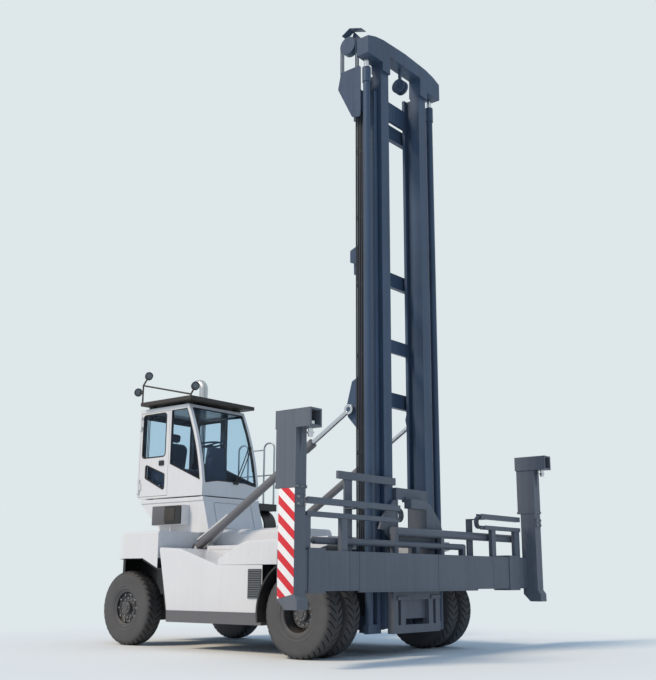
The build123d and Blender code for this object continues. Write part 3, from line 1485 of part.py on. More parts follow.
def cable_trays():
    # the upper cable trays on their posts, the chain's loops and the bar across the top
    pieces = []
    x0, x1 = tray_rear_x, tray_front_x
    middle_x0, middle_x1 = upright_rear_x, upright_front_x
    for side, start, end in cable_trays_table:
        radius = (tray_high_z + tray_wall + chain_thickness - tray_low_z - tray_wall) / 2
        centre = start - radius - running_gap
        z = tray_low_z + tray_wall + radius
        tray = lift_tray(side, centre, end, tray_high_z, tray_high_depth)
        ring = Pos((middle_x0 + middle_x1) / 2, side * centre, z) * Rot(0, 90, 0) * (
            Cylinder(radius, middle_x1 - middle_x0) - Cylinder(radius - chain_thickness,
                                                               2 * (middle_x1 - middle_x0)))
        ring = ring - block(middle_x0 - cut_overrun, middle_x1 + cut_overrun, side * centre,
                            side * (centre + 2 * radius), z - 2 * radius, z + 2 * radius)
        run = block(middle_x0, middle_x1, side * centre, side * (end - chain_thickness),
                    z + radius - chain_thickness, z + radius)
        foot = block(middle_x0, middle_x1, side * centre, side * (start - running_gap), z - radius,
                     z - radius + chain_thickness)
        post_x0 = beam_rear_x
        post_x1 = beam_rear_x + tray_post_thickness
        y0, y1 = side * (tray_post_y - tray_post_width / 2), side * (tray_post_y + tray_post_width / 2)
        top = tray_post_top_z if side < 0 else tray_high_z
        post_plate = block(post_x0, post_x1, y0, y1, beam_high_z + seat_gap, top)
        shelf = block(post_x0, x1, y0, y1, tray_high_z - 2 * tray_wall, tray_high_z)
        pieces.append(tray + ring + run + foot + post_plate + shelf)
        if side < 0:
            rail = block(post_x0, post_x1 + tray_post_thickness, side * tray_bar_start_y,
                         side * tray_bar_end_y, tray_post_top_z, tray_bar_top_z)
            pieces[-1] = pieces[-1] + rail
    return group(*pieces)


def post():
    # the left corner post: lower post, foot, clamp block, upper sleeve with its flange, gusset and head
    x0, x1, y0, y1 = post_rear_x, post_front_x, post_inner_y, post_outer_y
    outline = [(x0, post_chamfer_z), (x0, sleeve_low_z), (x1, sleeve_low_z),
               (x1, post_chamfer_z + post_foot_rise), (post_foot_front_x, post_chamfer_z),
               (post_foot_front_x, post_foot_z), (x0 + (post_chamfer_z - post_foot_z), post_foot_z)]
    lower = plate_xz(outline, y0, y1 - stripe_recess)
    upper = block(sleeve_rear_x, sleeve_front_x, y0, y1, sleeve_low_z, head_low_z)
    collar = block(sleeve_rear_x - sleeve_flange, sleeve_front_x + sleeve_flange, y0 - sleeve_flange, y1,
                   sleeve_low_z,
                   sleeve_low_z + sleeve_flange_height)
    clamp = block(x1, x1 + clamp_depth, y0 + clamp_depth, y1 - clamp_depth, sleeve_low_z - clamp_drop,
                  sleeve_low_z - clamp_drop + clamp_height)
    gusset = plate_xz([(sleeve_front_x, gusset_low_z), (lock_x - gusset_reach, head_low_z),
                       (sleeve_front_x, head_low_z)],
                      y0 + gusset_reach, y1 - gusset_reach)
    return lower + upper + collar + clamp + gusset + head()


def head():
    # the left head: a box open at the front, with the twist lock's bush below
    x0, x1, y0, y1, w = head_rear_x, spreader_reach, head_inner_y, post_outer_y, head_wall
    box = block(x0, x1, y0, y1, head_low_z, head_high_z)
    mouth = block((x0 + x1) / 2, x1 + cut_overrun, y0 + w, y1 - w, head_low_z + w, head_high_z - w)
    hole = Pos(lock_x, lock_y, head_low_z) * Cylinder(lock_radius + running_gap / 2, 4 * w)
    return box - mouth - hole


def twist_lock():
    # the left twist lock: shaft, collar and cone
    top = head_low_z + 3 * head_wall
    shaft = bar((lock_x, lock_y, head_low_z - lock_drop), (lock_x, lock_y, top), lock_radius)
    nut = bar((lock_x, lock_y, head_low_z + head_wall + seat_gap), (lock_x, lock_y, top), 2 * lock_radius)
    tip = Cone(lock_radius / 2, lock_cone_radius, lock_drop / 2, align=(Align.CENTER, Align.CENTER, Align.MIN))
    return shaft + nut + Pos(lock_x, lock_y, head_low_z - lock_drop) * tip


def nodes():
    # every piece of the machine by name
    front_tyres, front_rim = front_wheel()
    rear_tyre, rear_rim = rear_wheel()
    pieces = {
        "chassis_frame": chassis_frame(), "side_bodies": side_bodies(), "side_skirts": side_skirts(),
        "louvres": louvres(),
        "fenders": fenders(), "mudguards": mudguards(), "counterweight": counterweight(),
        "deck": deck(), "hood": hood(), "engine": engine(), "pedestal": pedestal(), "cab_shell": cab_shell(),
        "cab_glass": cab_glass(), "seat": seat(), "steering_column": steering_column(),
        "roof_rack": roof_rack(),
        "work_lamps": work_lamps(), "exhaust": exhaust(), "platform": group(platform(), access_steps()),
        "handrails": handrails(),
        "tilt_struts": tilt_struts(), "drive_axle": drive_axle(), "steer_axle": steer_axle(),
        "door_right": door(), "door_right_glass": door_glass(), "door_left": mirrored(door()),
        "door_left_glass": mirrored(door_glass()),
        "knuckle_left": knuckle(), "knuckle_right": mirrored(knuckle()),
        "outer_mast": outer_mast(), "tilt_brackets": tilt_brackets(), "lift_barrels": lift_barrels(),
        "inner_mast": inner_mast(), "lift_rods": lift_rods(), "hose_sheave": hose_sheave(),
        "hose_guard": hose_guard(),
        "carriage": carriage(), "spreader_beam": spreader_beam(), "spreader_cylinders": spreader_cylinders(),
        "cable_trays": cable_trays(), "mast_hoses": mast_hoses(),
    }
    wheels = (("front_tyres", front_tyres, 0), ("front_rim", front_rim, 0),
              ("rear_tyre", rear_tyre, -wheelbase), ("rear_rim", rear_rim, -wheelbase))
    for name, shape, x in wheels:
        pieces[name + "_left"] = place_left(shape, x)
        pieces[name + "_right"] = mirrored(place_left(shape, x))
    for name, shape in (("tilt_barrel", tilt_barrel()), ("tilt_rod", tilt_rod()), ("post", post()),
                        ("twist_lock", twist_lock())):
        pieces[name + "_left"] = shape
        pieces[name + "_right"] = mirrored(shape)
    pieces["arm_left"] = arm(1)
    pieces["arm_right"] = arm(-1)
    return pieces


centre_x = (-exhaust_tip_x - spreader_reach) / 2
os.makedirs("parts", exist_ok=True)
for name, shape in nodes().items():
    export_step(Pos(centre_x, 0, 0) * shape, "parts/" + name + ".step")
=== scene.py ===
import math

import bmesh
import bpy
import numpy as np
from mathutils import Matrix, Vector


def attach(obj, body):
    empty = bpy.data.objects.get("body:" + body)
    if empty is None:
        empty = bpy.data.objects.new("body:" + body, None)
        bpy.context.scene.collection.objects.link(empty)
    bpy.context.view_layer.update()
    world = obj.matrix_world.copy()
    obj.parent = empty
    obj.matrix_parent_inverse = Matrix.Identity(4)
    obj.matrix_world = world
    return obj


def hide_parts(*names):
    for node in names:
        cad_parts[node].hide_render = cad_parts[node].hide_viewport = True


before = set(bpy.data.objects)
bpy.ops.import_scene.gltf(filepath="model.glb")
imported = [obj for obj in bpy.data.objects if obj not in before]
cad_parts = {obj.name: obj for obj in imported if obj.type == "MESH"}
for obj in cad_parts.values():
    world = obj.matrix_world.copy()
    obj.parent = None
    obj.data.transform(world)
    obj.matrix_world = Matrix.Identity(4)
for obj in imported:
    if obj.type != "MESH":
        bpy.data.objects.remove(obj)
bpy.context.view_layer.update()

# The camera stands ahead of the machine on its right, low over the yard.
image_width, image_height = 656, 680
focal_pixels = 975.7
principal_x = 341.45
yaw_degrees, pitch_degrees, roll_degrees = 38.42, 13.74, 0.1
front_axle_x = 1.7195
camera_place = (8.595 + front_axle_x, -11.628, 1.013)
sensor_width_mm, far_clip = 36, 300


def in_scene(name, data):
    """An object in the scene that carries this data."""
    made = bpy.data.objects.new(name, data)
    bpy.context.scene.collection.objects.link(made)
    return made


def make_camera():
    """The camera: right, up and forward axes from its yaw, pitch and roll, as a rotation matrix."""
    yaw, pitch, roll = (math.radians(a) for a in (yaw_degrees, pitch_degrees, roll_degrees))
    right = np.array([math.cos(yaw), math.sin(yaw), 0])
    ahead = np.array([-math.sin(yaw), math.cos(yaw), 0])
    forward = ahead * math.cos(pitch) + np.array([0, 0, math.sin(pitch)])
    up = np.cross(right, forward)
    rolled_right = right * math.cos(roll) + up * math.sin(roll)
    rolled_up = up * math.cos(roll) - right * math.sin(roll)
    data = bpy.data.cameras.new("camera")
    data.sensor_width = sensor_width_mm
    data.lens = focal_pixels / image_height * sensor_width_mm
    data.shift_x = (image_width / 2 - principal_x) / image_height
    data.clip_end = far_clip
    camera = in_scene("camera", data)
    axes = np.eye(4)
    axes[:3] = np.stack([rolled_right, rolled_up, -forward, camera_place], -1)
    camera.matrix_world = Matrix(axes.tolist())
    bpy.context.scene.camera = camera


make_camera()

# Finishes. Each pattern's scale comes from a real size in millimetres.


def linear(hex_colour):
    """An sRGB hex colour as linear RGBA."""
    channels = np.array([int(hex_colour[i:i + 2], 16) for i in (1, 3, 5)]) / 255
    low, high = channels / 12.92, ((channels + 0.055) / 1.055) ** 2.4
    return (*np.where(channels <= 0.04045, low, high), 1)


def connect(tree, node, inputs):
    """A node's inputs: each takes a number, a colour, or a link from another node's socket."""
    for name, value in inputs.items():
        if isinstance(value, bpy.types.NodeSocket):
            tree.links.new(value, node.inputs[name])
        else:
            node.inputs[name].default_value = value
    return node


def add(tree, kind, inputs=None, **settings):
    """A shader node with its settings and its inputs."""
    made = tree.nodes.new("ShaderNode" + kind)
    for name, value in settings.items():
        setattr(made, name, value)
    return connect(tree, made, inputs or {})


def new_material(name):
    """An empty material with its node tree, its shader and its Object coordinates."""
    material = bpy.data.materials.new(name)
    material.use_nodes = True
    tree = material.node_tree
    return material, tree, tree.nodes["Principled BSDF"], add(tree, "TexCoord").outputs["Object"]


def clouds(tree, place, scale, detail, low, high, start=0.3, stop=0.7, rough=0.5):
    """Soft patches: noise whose middle range, from start to stop, is spread over low to high."""
    noise = add(tree, "TexNoise", {"Vector": place, "Scale": scale, "Detail": detail, "Roughness": rough})
    return add(tree, "MapRange", {"Value": noise.outputs["Fac"], "From Min": start, "From Max": stop,
                                  "To Min": low, "To Max": high}).outputs["Result"]


# Masks, in metres in the frame. Dark trim shows where a point lies this far inside the cab's outer skin.
trim_depth, screen_trim_depth = 0.015, 0.034
# The second colour is painted shade: black on the arches' inner faces and the side bodies' front ends, where
# shade falls.
trim_colour, painted_shade_black, painted_lit_slat_grey = "#1a2a45", "#17181a", "#5b6065"
cab_half_width, cab_rear_x, cab_roof_z, cab_floor_z = 0.655, -2.8305, 3.84, 2.31
screen_radius, screen_axis = 4.1119, (-5.3183, 0, 2.0313)
arch_top_z, arch_outer_y, tail_face_x = 1.312, 1.498, -2.9355
body_end_top_z, front_facing = 1.25, 0.7
# The grilles' proud slats take the third colour above, a lighter grey of painted light that makes them look
# lit.
slat_y, slat_x = 1.5055, -2.946
comparisons = {"<": "LESS_THAN", ">": "GREATER_THAN"}


def parts_of(tree, place):
    """A point's X, its distance from the machine's middle plane, and its Z."""
    parts = add(tree, "SeparateXYZ", {"Vector": place}).outputs
    return parts["X"], add(tree, "Math", {0: parts["Y"]}, operation="ABSOLUTE").outputs["Value"], parts["Z"]


def all_of(tree, tests):
    """1 where every value is on the named side of its limit: the tests multiplied."""
    both = 1.0
    for value, way, limit in tests:
        test = add(tree, "Math", {0: value, 1: limit}, operation=comparisons[way]).outputs["Value"]
        both = add(tree, "Math", {0: test, 1: both}, operation="MULTIPLY").outputs["Value"]
    return both


def inside_cab(tree, place):
    """1 where a point is deeper in the cab than the trim's depth, tested against the skin on five sides."""
    x, across, z = parts_of(tree, place)
    level = add(tree, "VectorMath", {0: place, 1: (1, 0, 1)}, operation="MULTIPLY").outputs["Vector"]
    from_axis = add(tree, "VectorMath", {0: level, 1: screen_axis}, operation="SUBTRACT").outputs["Vector"]
    reach = add(tree, "VectorMath", {0: from_axis}, operation="LENGTH").outputs["Value"]
    return all_of(tree, ((across, "<", cab_half_width - trim_depth), (z, "<", cab_roof_z - trim_depth),
                         (z, ">", cab_floor_z + trim_depth), (x, ">", cab_rear_x + trim_depth),
                         (reach, "<", screen_radius - screen_trim_depth)))


# This mask places painted shade in the counterweight's wheel arches.
def inside_arches(tree, place):
    """1 on the counterweight's faces in its wheel arches: low, within the skin, ahead of the tail's face."""
    x, across, z = parts_of(tree, place)
    return all_of(tree, ((across, "<", arch_outer_y), (z, "<", arch_top_z), (x, ">", tail_face_x)))


# This mask places painted shade on the side bodies' front ends.
def body_end(tree, place):
    """1 on the side bodies' front ends, behind the mudguards: low faces whose normal points ahead."""
    flat = add(tree, "NewGeometry").outputs["True Normal"]
    ahead = add(tree, "SeparateXYZ", {"Vector": flat}).outputs["X"]
    return all_of(tree, ((ahead, ">", front_facing), (parts_of(tree, place)[2], "<", body_end_top_z)))


# This mask places painted light on the slats; the back plates behind them stay near-black painted shade.
def proud_slats(tree, place):
    """1 on the grilles' slats, which stand proud of their back plates at the sides and in the tail."""
    x, across = parts_of(tree, place)[:2]
    beside, behind = all_of(tree, [(across, ">", slat_y)]), all_of(tree, [(x, "<", slat_x)])
    return add(tree, "Math", {0: beside, 1: behind}, operation="MAXIMUM").outputs["Value"]


# Orange peel, drawn coarser than real paint's so that it shows, and the width of the rubbed edges.
peel_mm, peel_depth, edge_mm = 6, 0.0006, 7
dust_colour, dust_foot, dust_top = "#8c8378", 0.25, 0.9
# The cosine between a face and the rounded edge over it: where rubbing starts, and where it is full.
rub_start, rub_full = 0.99, 0.8
# How much smoother and duller than its roughness the paint gets in patches.
smoother, duller = 0.06, 0.08
streak_scale = (14, 14, 0.5)


def painted_steel(name, colour, rough, metal=0.0, coat=0.0, mottle=0.03, peel=0.08, dust_share=0.25,
                  streak=0.04, edge="#8d9298", edge_share=0.25, gloss=0.5, within=None,
                  within_colour=trim_colour):
    """Sprayed paint: its colour drifts over each plate and runs in upright streaks, faint run-off dirt on most
    paint and partly painted reflection where strong, as on the mast; dust gathers low down, edges are rubbed
    lighter and catch the light, and the surface has a fine orange peel."""
    material, tree, shader, place = new_material(name)
    drift = clouds(tree, place, scale=1.3, detail=3, low=1 - mottle, high=1 + mottle)
    tall = add(tree, "Mapping", {"Vector": place, "Scale": streak_scale}).outputs["Vector"]
    # Upright streaks: run-off dirt where faint, partly painted reflection where strong, as on the mast.
    runs = clouds(tree, tall, scale=1, detail=4, start=0.35, stop=0.65, low=1 - streak, high=1)
    shade = add(tree, "Math", {0: drift, 1: runs}, operation="MULTIPLY").outputs["Value"]
    tint = add(tree, "VectorMath", {0: linear(colour)[:3], 1: shade}, operation="MULTIPLY").outputs["Vector"]
    height = add(tree, "SeparateXYZ", {"Vector": place}).outputs["Z"]
    low = add(tree, "MapRange", {"Value": height, "From Min": dust_foot, "From Max": dust_top,
                                 "To Min": dust_share, "To Max": 0}).outputs["Result"]
    specks = add(tree, "TexNoise", {"Vector": place, "Scale": 9, "Detail": 6,
                                    "Roughness": 0.65}).outputs["Fac"]
    grime = add(tree, "Math", {0: low, 1: specks}, operation="MULTIPLY").outputs["Value"]
    dusty = add(tree, "Mix", {"Factor": grime, "A": tint, "B": linear(dust_colour)}, data_type="RGBA")
    rounded_edge = add(tree, "Bevel", {"Radius": edge_mm / 1000}, samples=4).outputs["Normal"]
    flat = add(tree, "NewGeometry").outputs["Normal"]
    bend = add(tree, "VectorMath", {0: rounded_edge, 1: flat}, operation="DOT_PRODUCT").outputs["Value"]
    corner = add(tree, "MapRange", {"Value": bend, "From Min": rub_start, "From Max": rub_full,
                                    "To Min": 0, "To Max": edge_share}).outputs["Result"]
    rubbed = add(tree, "Math", {0: corner, 1: specks}, operation="MULTIPLY").outputs["Value"]
    worn = add(tree, "Mix", {"Factor": rubbed, "A": dusty.outputs["Result"], "B": linear(edge)},
               data_type="RGBA")
    if within:
        worn = add(tree, "Mix", {"Factor": within(tree, place), "A": worn.outputs["Result"],
                                 "B": linear(within_colour)}, data_type="RGBA")
    peel_noise = add(tree, "TexNoise", {"Vector": place, "Scale": 1000 / peel_mm, "Detail": 2}).outputs["Fac"]
    bump = add(tree, "Bump", {"Height": peel_noise, "Strength": peel, "Distance": peel_depth,
                              "Normal": rounded_edge}).outputs["Normal"]
    dulled = add(tree, "MapRange", {"Value": specks, "From Min": 0.3, "From Max": 0.7,
                                    "To Min": rough - smoother, "To Max": rough + duller}).outputs["Result"]
    connect(tree, shader, {"Base Color": worn.outputs["Result"], "Normal": bump, "Roughness": dulled,
                           "Metallic": metal, "Coat Weight": coat, "Specular IOR Level": gloss})
    return material


def clear_pane(name, colour):
    """Toughened cab glass, floated and tinted: clear, with a faint blue colour and a thin film of dust."""
    material, tree, shader, place = new_material(name)
    haze = clouds(tree, place, scale=3, detail=5, start=0.35, stop=0.75, low=0, high=0.05)
    connect(tree, shader, {"Base Color": linear(colour), "Roughness": haze, "Transmission Weight": 1,
                           "IOR": 1.15, "Specular IOR Level": 0.2})
    return material


def moulded(name, colour, rough, grain_mm, grain=0.25, sheen=0.0):
    """Moulded plastic or rubber, or a closely woven cover: one slightly clouded colour and an even grain."""
    material, tree, shader, place = new_material(name)
    spread = clouds(tree, place, scale=6, detail=4, low=0.92, high=1.08)
    tint = add(tree, "VectorMath", {0: linear(colour)[:3], 1: spread}, operation="MULTIPLY").outputs["Vector"]
    cells = add(tree, "TexVoronoi", {"Vector": place, "Scale": 1000 / grain_mm}).outputs["Distance"]
    bump = add(tree, "Bump", {"Height": cells, "Strength": grain, "Distance": 0.0008}).outputs["Normal"]
    connect(tree, shader, {"Base Color": tint, "Normal": bump, "Roughness": rough, "Sheen Weight": sheen})
    return material


# The sidewall's rings, and the radii in metres between which its colour turns into the tread's.
ring_pitch_mm, ring_share = 9, 0.12
# The last number darkens the grooves: painted shade.
tread_start, tread_end, painted_groove_shade = 0.49, 0.53, 0.45


def tyre_compound(name, colour, tread_colour):
    """Vulcanised rubber: warm grey walls with fine moulded rings; a darker tread, grooves in painted shade."""
    material, tree, shader, place = new_material(name)
    radius, recess = (add(tree, "Attribute", attribute_name=label).outputs["Fac"]
                      for label in ("radius", "recess"))
    spread = clouds(tree, place, scale=5, detail=5, rough=0.6, low=0.88, high=1.12)
    outer = add(tree, "MapRange", {"Value": radius, "From Min": tread_start, "From Max": tread_end})
    base = add(tree, "Mix", {"Factor": outer.outputs["Result"], "A": linear(colour),
                             "B": linear(tread_colour)}, data_type="RGBA").outputs["Result"]
    tint = add(tree, "VectorMath", {0: base, 1: spread}, operation="MULTIPLY").outputs["Vector"]
    deep = add(tree, "MapRange", {"Value": recess, "To Min": 1, "To Max": painted_groove_shade}).outputs["Result"]
    dark = add(tree, "VectorMath", {0: tint, 1: deep}, operation="MULTIPLY").outputs["Vector"]
    angle = add(tree, "Math", {0: radius, 1: 2 * math.pi * 1000 / ring_pitch_mm}, operation="MULTIPLY")
    rings = add(tree, "Math", {0: angle.outputs["Value"]}, operation="SINE").outputs["Value"]
    grain = add(tree, "TexNoise", {"Vector": place, "Scale": 220, "Detail": 3}).outputs["Fac"]
    both = add(tree, "Math", {0: rings, 1: ring_share, 2: grain}, operation="MULTIPLY_ADD").outputs["Value"]
    bump = add(tree, "Bump", {"Height": both, "Strength": 0.35, "Distance": 0.0012}).outputs["Normal"]
    connect(tree, shader, {"Base Color": dark, "Normal": bump, "Roughness": 0.72})
    return material


# The bands' slope, period and place, in metres from the post's rear edge.
stripe_slope, stripe_period, stripe_phase = 0.86, 0.208, 0.043
post_rear_x = 850


def warning_sheeting(name, red, white):
    """Self-adhesive retroreflective sheeting: red and white bands that fall towards the front, over faint
    beads. Counted in periods along the slope, a place is red within a quarter of a whole number."""
    material, tree, shader, place = new_material(name)
    slide = add(tree, "VectorMath", {0: place, 1: (stripe_slope, 0, 1)}, operation="DOT_PRODUCT")
    shift = stripe_slope * (post_rear_x / 1000 + front_axle_x) + stripe_phase
    pale = slide.outputs["Value"]
    for operation, number in (("SUBTRACT", shift), ("DIVIDE", stripe_period), ("ADD", 0.5), ("FRACT", 0),
                              ("SUBTRACT", 0.5), ("ABSOLUTE", 0), ("GREATER_THAN", 0.25)):
        pale = add(tree, "Math", {0: pale, 1: number}, operation=operation).outputs["Value"]
    bands = add(tree, "Mix", {"Factor": pale, "A": linear(red), "B": linear(white)}, data_type="RGBA")
    spread = clouds(tree, place, scale=30, detail=4, low=0.95, high=1)
    tint = add(tree, "VectorMath", {0: bands.outputs["Result"], 1: spread}, operation="MULTIPLY")
    beads = add(tree, "TexVoronoi", {"Vector": place, "Scale": 400}).outputs["Distance"]
    bump = add(tree, "Bump", {"Height": beads, "Strength": 0.08, "Distance": 0.0005}).outputs["Normal"]
    connect(tree, shader, {"Base Color": tint.outputs["Vector"], "Normal": bump, "Roughness": 0.35})
    return material


# Two-part enamel on rolled plate: an even, slightly glossy skin.
white_paint = dict(colour="#d9dadc", rough=0.32, coat=0.3, mottle=0.02, edge="#c9ccd0", edge_share=0.5,
                   streak=0.03)
white_enamel = painted_steel("white_sprayed_enamel", **white_paint)
cab_enamel = painted_steel("white_cab_enamel", **white_paint, within=inside_cab)
# The arches and the bodies' front ends turn black here: painted shade where shade falls.
weight_enamel = painted_steel("white_counterweight_enamel", **white_paint, within=inside_arches,
                              within_colour=painted_shade_black)
body_enamel = painted_steel("white_side_enamel", **white_paint, within=body_end, within_colour=painted_shade_black)
sill_enamel = painted_steel("grey_sill_enamel", "#5f5f65", 0.45)
# The mast's strong upright streaks are partly painted reflection.
mast_enamel = painted_steel("slate_mast_enamel", "#43546b", 0.36, mottle=0.07, streak=0.16, gloss=0.22)
spreader_enamel = painted_steel("grey_spreader_enamel", "#646a74", 0.42, mottle=0.05, streak=0.1, gloss=0.2)
black_enamel = painted_steel("black_chassis_enamel", "#1d1e20", 0.5, mottle=0.08, dust_share=0.5)
# The grille is painted light and shade: near-black back plates where shade falls, lighter grey proud slats as
# if lit.
louvre_enamel = painted_steel("grille_enamel", "#0e0f10", 0.5, mottle=0.08, gloss=0.2, within=proud_slats,
                              within_colour=painted_lit_slat_grey)
rim_enamel = painted_steel("rim_enamel", "#3d3f44", 0.36, mottle=0.08, dust_share=0.5)
rack_enamel = painted_steel("dark_rack_enamel", "#423f3d", 0.55, mottle=0.1, gloss=0.25)
ram_enamel = painted_steel("cylinder_enamel", "#6a6a6e", 0.34, mottle=0.07)
# Hard chrome, ground and polished: a bright mirror along the rod.
hard_chrome = painted_steel("hard_chromed_rod", "#c9ccd1", 0.14, metal=1.0, mottle=0.02, peel=0.0,
                            dust_share=0.0, edge_share=0.0)
# Hot-dip zinc: pale, softly clouded metal.
satin_steel = painted_steel("galvanised_steel", "#b7bcc1", 0.35, metal=0.9, mottle=0.08, dust_share=0.05,
                            edge_share=0.0)
# Zinc-plated fasteners: small dull bright points.
plated_steel = painted_steel("zinc_plated_steel", "#8f9295", 0.38, metal=0.8, mottle=0.1, edge_share=0.0)
# Injection-moulded ABS with a leather grain, drawn coarser than the real one: soft, broken highlights.
moulded_black = moulded("moulded_black_abs", "#1c1f24", 0.55, 2.5)
cab_plastic = moulded("moulded_cab_abs", "#273a58", 0.5, 2.5)
# Extruded rubber: dark and dull, almost without grain.
hose_rubber = moulded("black_hose_rubber", "#232a33", 0.5, 3, grain=0.1)
seal_rubber = moulded("extruded_seal_rubber", "#17191d", 0.6, 2, grain=0.1)
# Woven seat cover over foam: dull, with a close weave.
seat_cloth = moulded("woven_seat_cloth", "#2c3f5c", 0.9, 1.6, grain=0.5, sheen=0.3)
# Moulded and vulcanised rubber: matt, greyer on the walls than on the tread.
tyre_rubber = tyre_compound("vulcanised_tyre_rubber", "#4c4c4e", "#3c3c3e")
# Moulded polycarbonate over a silvered bowl: grey, glossy, fluted. The tail's lenses are red acrylic.
lamp_lens = moulded("polycarbonate_lens", "#59636b", 0.12, 8, grain=0.3)
red_lens = moulded("red_acrylic_lens", "#8f1418", 0.15, 6, grain=0.2)
# Printed bead sheeting: clean bright bands.
stripes = warning_sheeting("reflective_sheeting", "#d8232f", "#f2efee")
# Tinted float glass: a cool, clear pane.
cab_glass = clear_pane("tinted_float_glass", "#dbebf5")

finishes = {
    white_enamel: ("fenders", "deck", "hood", "pedestal", "tilt_struts"),
    weight_enamel: ("counterweight",),
    body_enamel: ("side_bodies",),
    cab_enamel: ("cab_shell", "door_left", "door_right"),
    sill_enamel: ("side_skirts",),
    mast_enamel: ("outer_mast", "inner_mast", "tilt_brackets", "lift_barrels", "hose_sheave", "hose_guard"),
    spreader_enamel: ("carriage", "spreader_beam", "spreader_cylinders", "cable_trays", "arm_left",
                      "arm_right", "post_left", "post_right"),
    louvre_enamel: ("louvres",),
    black_enamel: ("chassis_frame", "mudguards", "engine", "drive_axle", "steer_axle", "knuckle_left",
                   "knuckle_right", "platform"),
    rim_enamel: ("front_rim_left", "front_rim_right", "rear_rim_left", "rear_rim_right"),
    rack_enamel: ("roof_rack", "work_lamps"),
    ram_enamel: ("tilt_barrel_left", "tilt_barrel_right"),
    hose_rubber: ("mast_hoses", "front_tyres_left", "front_tyres_right", "rear_tyre_left", "rear_tyre_right"),
    hard_chrome: ("lift_rods", "tilt_rod_left", "tilt_rod_right", "twist_lock_left", "twist_lock_right"),
    satin_steel: ("exhaust", "handrails"),
    cab_plastic: ("seat", "steering_column"),
    cab_glass: ("cab_glass", "door_left_glass", "door_right_glass"),
}
join_distance, crisp_angle = 0.00002, 32


def finish_frame():
    """Each CAD piece gets its finish; its triangles are joined for shading, and sharper edges stay crisp."""
    for material, members in finishes.items():
        for member in members:
            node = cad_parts[member]
            node.data.materials.clear()
            node.data.materials.append(material)
            node.data.polygons.foreach_set("use_smooth", np.ones(len(node.data.polygons), bool))
            node.modifiers.new("join", "WELD").merge_threshold = join_distance
            node.modifiers.new("crisp", "EDGE_SPLIT").split_angle = math.radians(crisp_angle)


finish_frame()

# Shapes. Places are millimetres from the front axle's middle on the ground, made frame metres at the end.
both_sides = ((1, "left"), (-1, "right"))
merge_distance = 0.00001
# A direction that no bar runs along, to measure a bar's roundness from.
askew = (0.31, 0.17, 0.94)


def from_axle(points):
    """Millimetres from the front axle's middle on the ground as metres in the frame."""
    return np.asarray(points, float) / 1000 + (front_axle_x, 0, 0)


def unit(vectors):
    """Vectors divided by their lengths."""
    return vectors / np.linalg.norm(vectors, axis=-1, keepdims=True)


def circle(count):
    """Equal angles once round, in radians."""
    return np.linspace(0, 2 * np.pi, count, endpoint=False)


def grid(points, round_rows=False, round_columns=False, caps=False):
    """Quads over a grid of points by row and column; a round direction joins its last line to its first, and
    caps close the end rows."""
    rows, columns = points.shape[:2]
    row, column = np.meshgrid(np.arange(rows - (not round_rows)), np.arange(columns - (not round_columns)),
                              indexing="ij")
    below, beside = (row + 1) % rows, (column + 1) % columns
    corners = ((row, column), (row, beside), (below, beside), (below, column))
    faces = np.stack([r * columns + c for r, c in corners], -1).reshape(-1, 4).tolist()
    if caps:
        faces += [list(range(columns)), list(range((rows - 1) * columns, rows * columns))]
    return points.reshape(-1, 3), faces


def facing(places, out):
    """Matrices of three rows and four columns that stand a piece on each place, its Z along out."""
    out = unit(np.asarray(out, float))
    side = unit(np.cross(out, (0, 0, 1) if abs(out[2]) < 0.9 else (1, 0, 0)))
    axes = np.stack([side, np.cross(out, side), out], -1)
    places = np.atleast_2d(np.asarray(places, float))
    return np.concatenate([np.broadcast_to(axes, (len(places), 3, 3)), places[:, :, None]], -1)


def copies(surface, matrices):
    """The same surface at several places: every point times each matrix."""
    points, faces = surface
    placed = np.einsum("kij,pj->kpi", matrices[:, :, :3], points) + matrices[:, None, :, 3]
    starts = len(points) * np.arange(len(matrices))
    return placed.reshape(-1, 3), [[start + i for i in face] for start in starts for face in faces]


def piece(name, surfaces, material, body, sharp=35, attributes=None):
    """One object from surfaces in millimetres: doubles merged, faces outwards, smooth but for sharp edges."""
    points, faces = [], []
    for places, rows in surfaces:
        start = sum(map(len, points))
        points.append(from_axle(places))
        faces += [[start + i for i in row] for row in rows]
    mesh = bpy.data.meshes.new(name)
    mesh.from_pydata(np.vstack(points).tolist(), [], faces)
    for label, values in (attributes or {}).items():
        attribute = mesh.attributes.new(label, "FLOAT", "POINT")
        attribute.data.foreach_set("value", values.ravel().astype(np.float32))
    work = bmesh.new()
    work.from_mesh(mesh)
    bmesh.ops.remove_doubles(work, verts=work.verts, dist=merge_distance)
    bmesh.ops.recalc_face_normals(work, faces=work.faces)
    work.to_mesh(mesh)
    work.free()
    mesh.polygons.foreach_set("use_smooth", np.ones(len(mesh.polygons), bool))
    mesh.set_sharp_from_angle(angle=math.radians(sharp))
    mesh.materials.append(material)
    made = in_scene(name, mesh)
    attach(made, body)
    return made


def rounded(corners, radius, steps=6):
    """A closed outline with its corners made arcs: points on a circle between each two tangent points."""
    corners = np.asarray(corners, float)
    before, after = unit(np.roll(corners, 1, 0) - corners), unit(np.roll(corners, -1, 0) - corners)
    half = np.arccos(np.clip((before * after).sum(1), -1, 1)) / 2
    centre = corners + unit(before + after) * (radius / np.sin(half))[:, None]
    start = corners + before * (radius / np.tan(half))[:, None] - centre
    stop = corners + after * (radius / np.tan(half))[:, None] - centre
    share = np.linspace(0, 1, steps)[None, :, None]
    sweep = np.pi - 2 * half[:, None, None]
    arc = np.sin((1 - share) * sweep) * start[:, None] + np.sin(share * sweep) * stop[:, None]
    return (centre[:, None] + arc / np.sin(sweep)).reshape(-1, corners.shape[1])


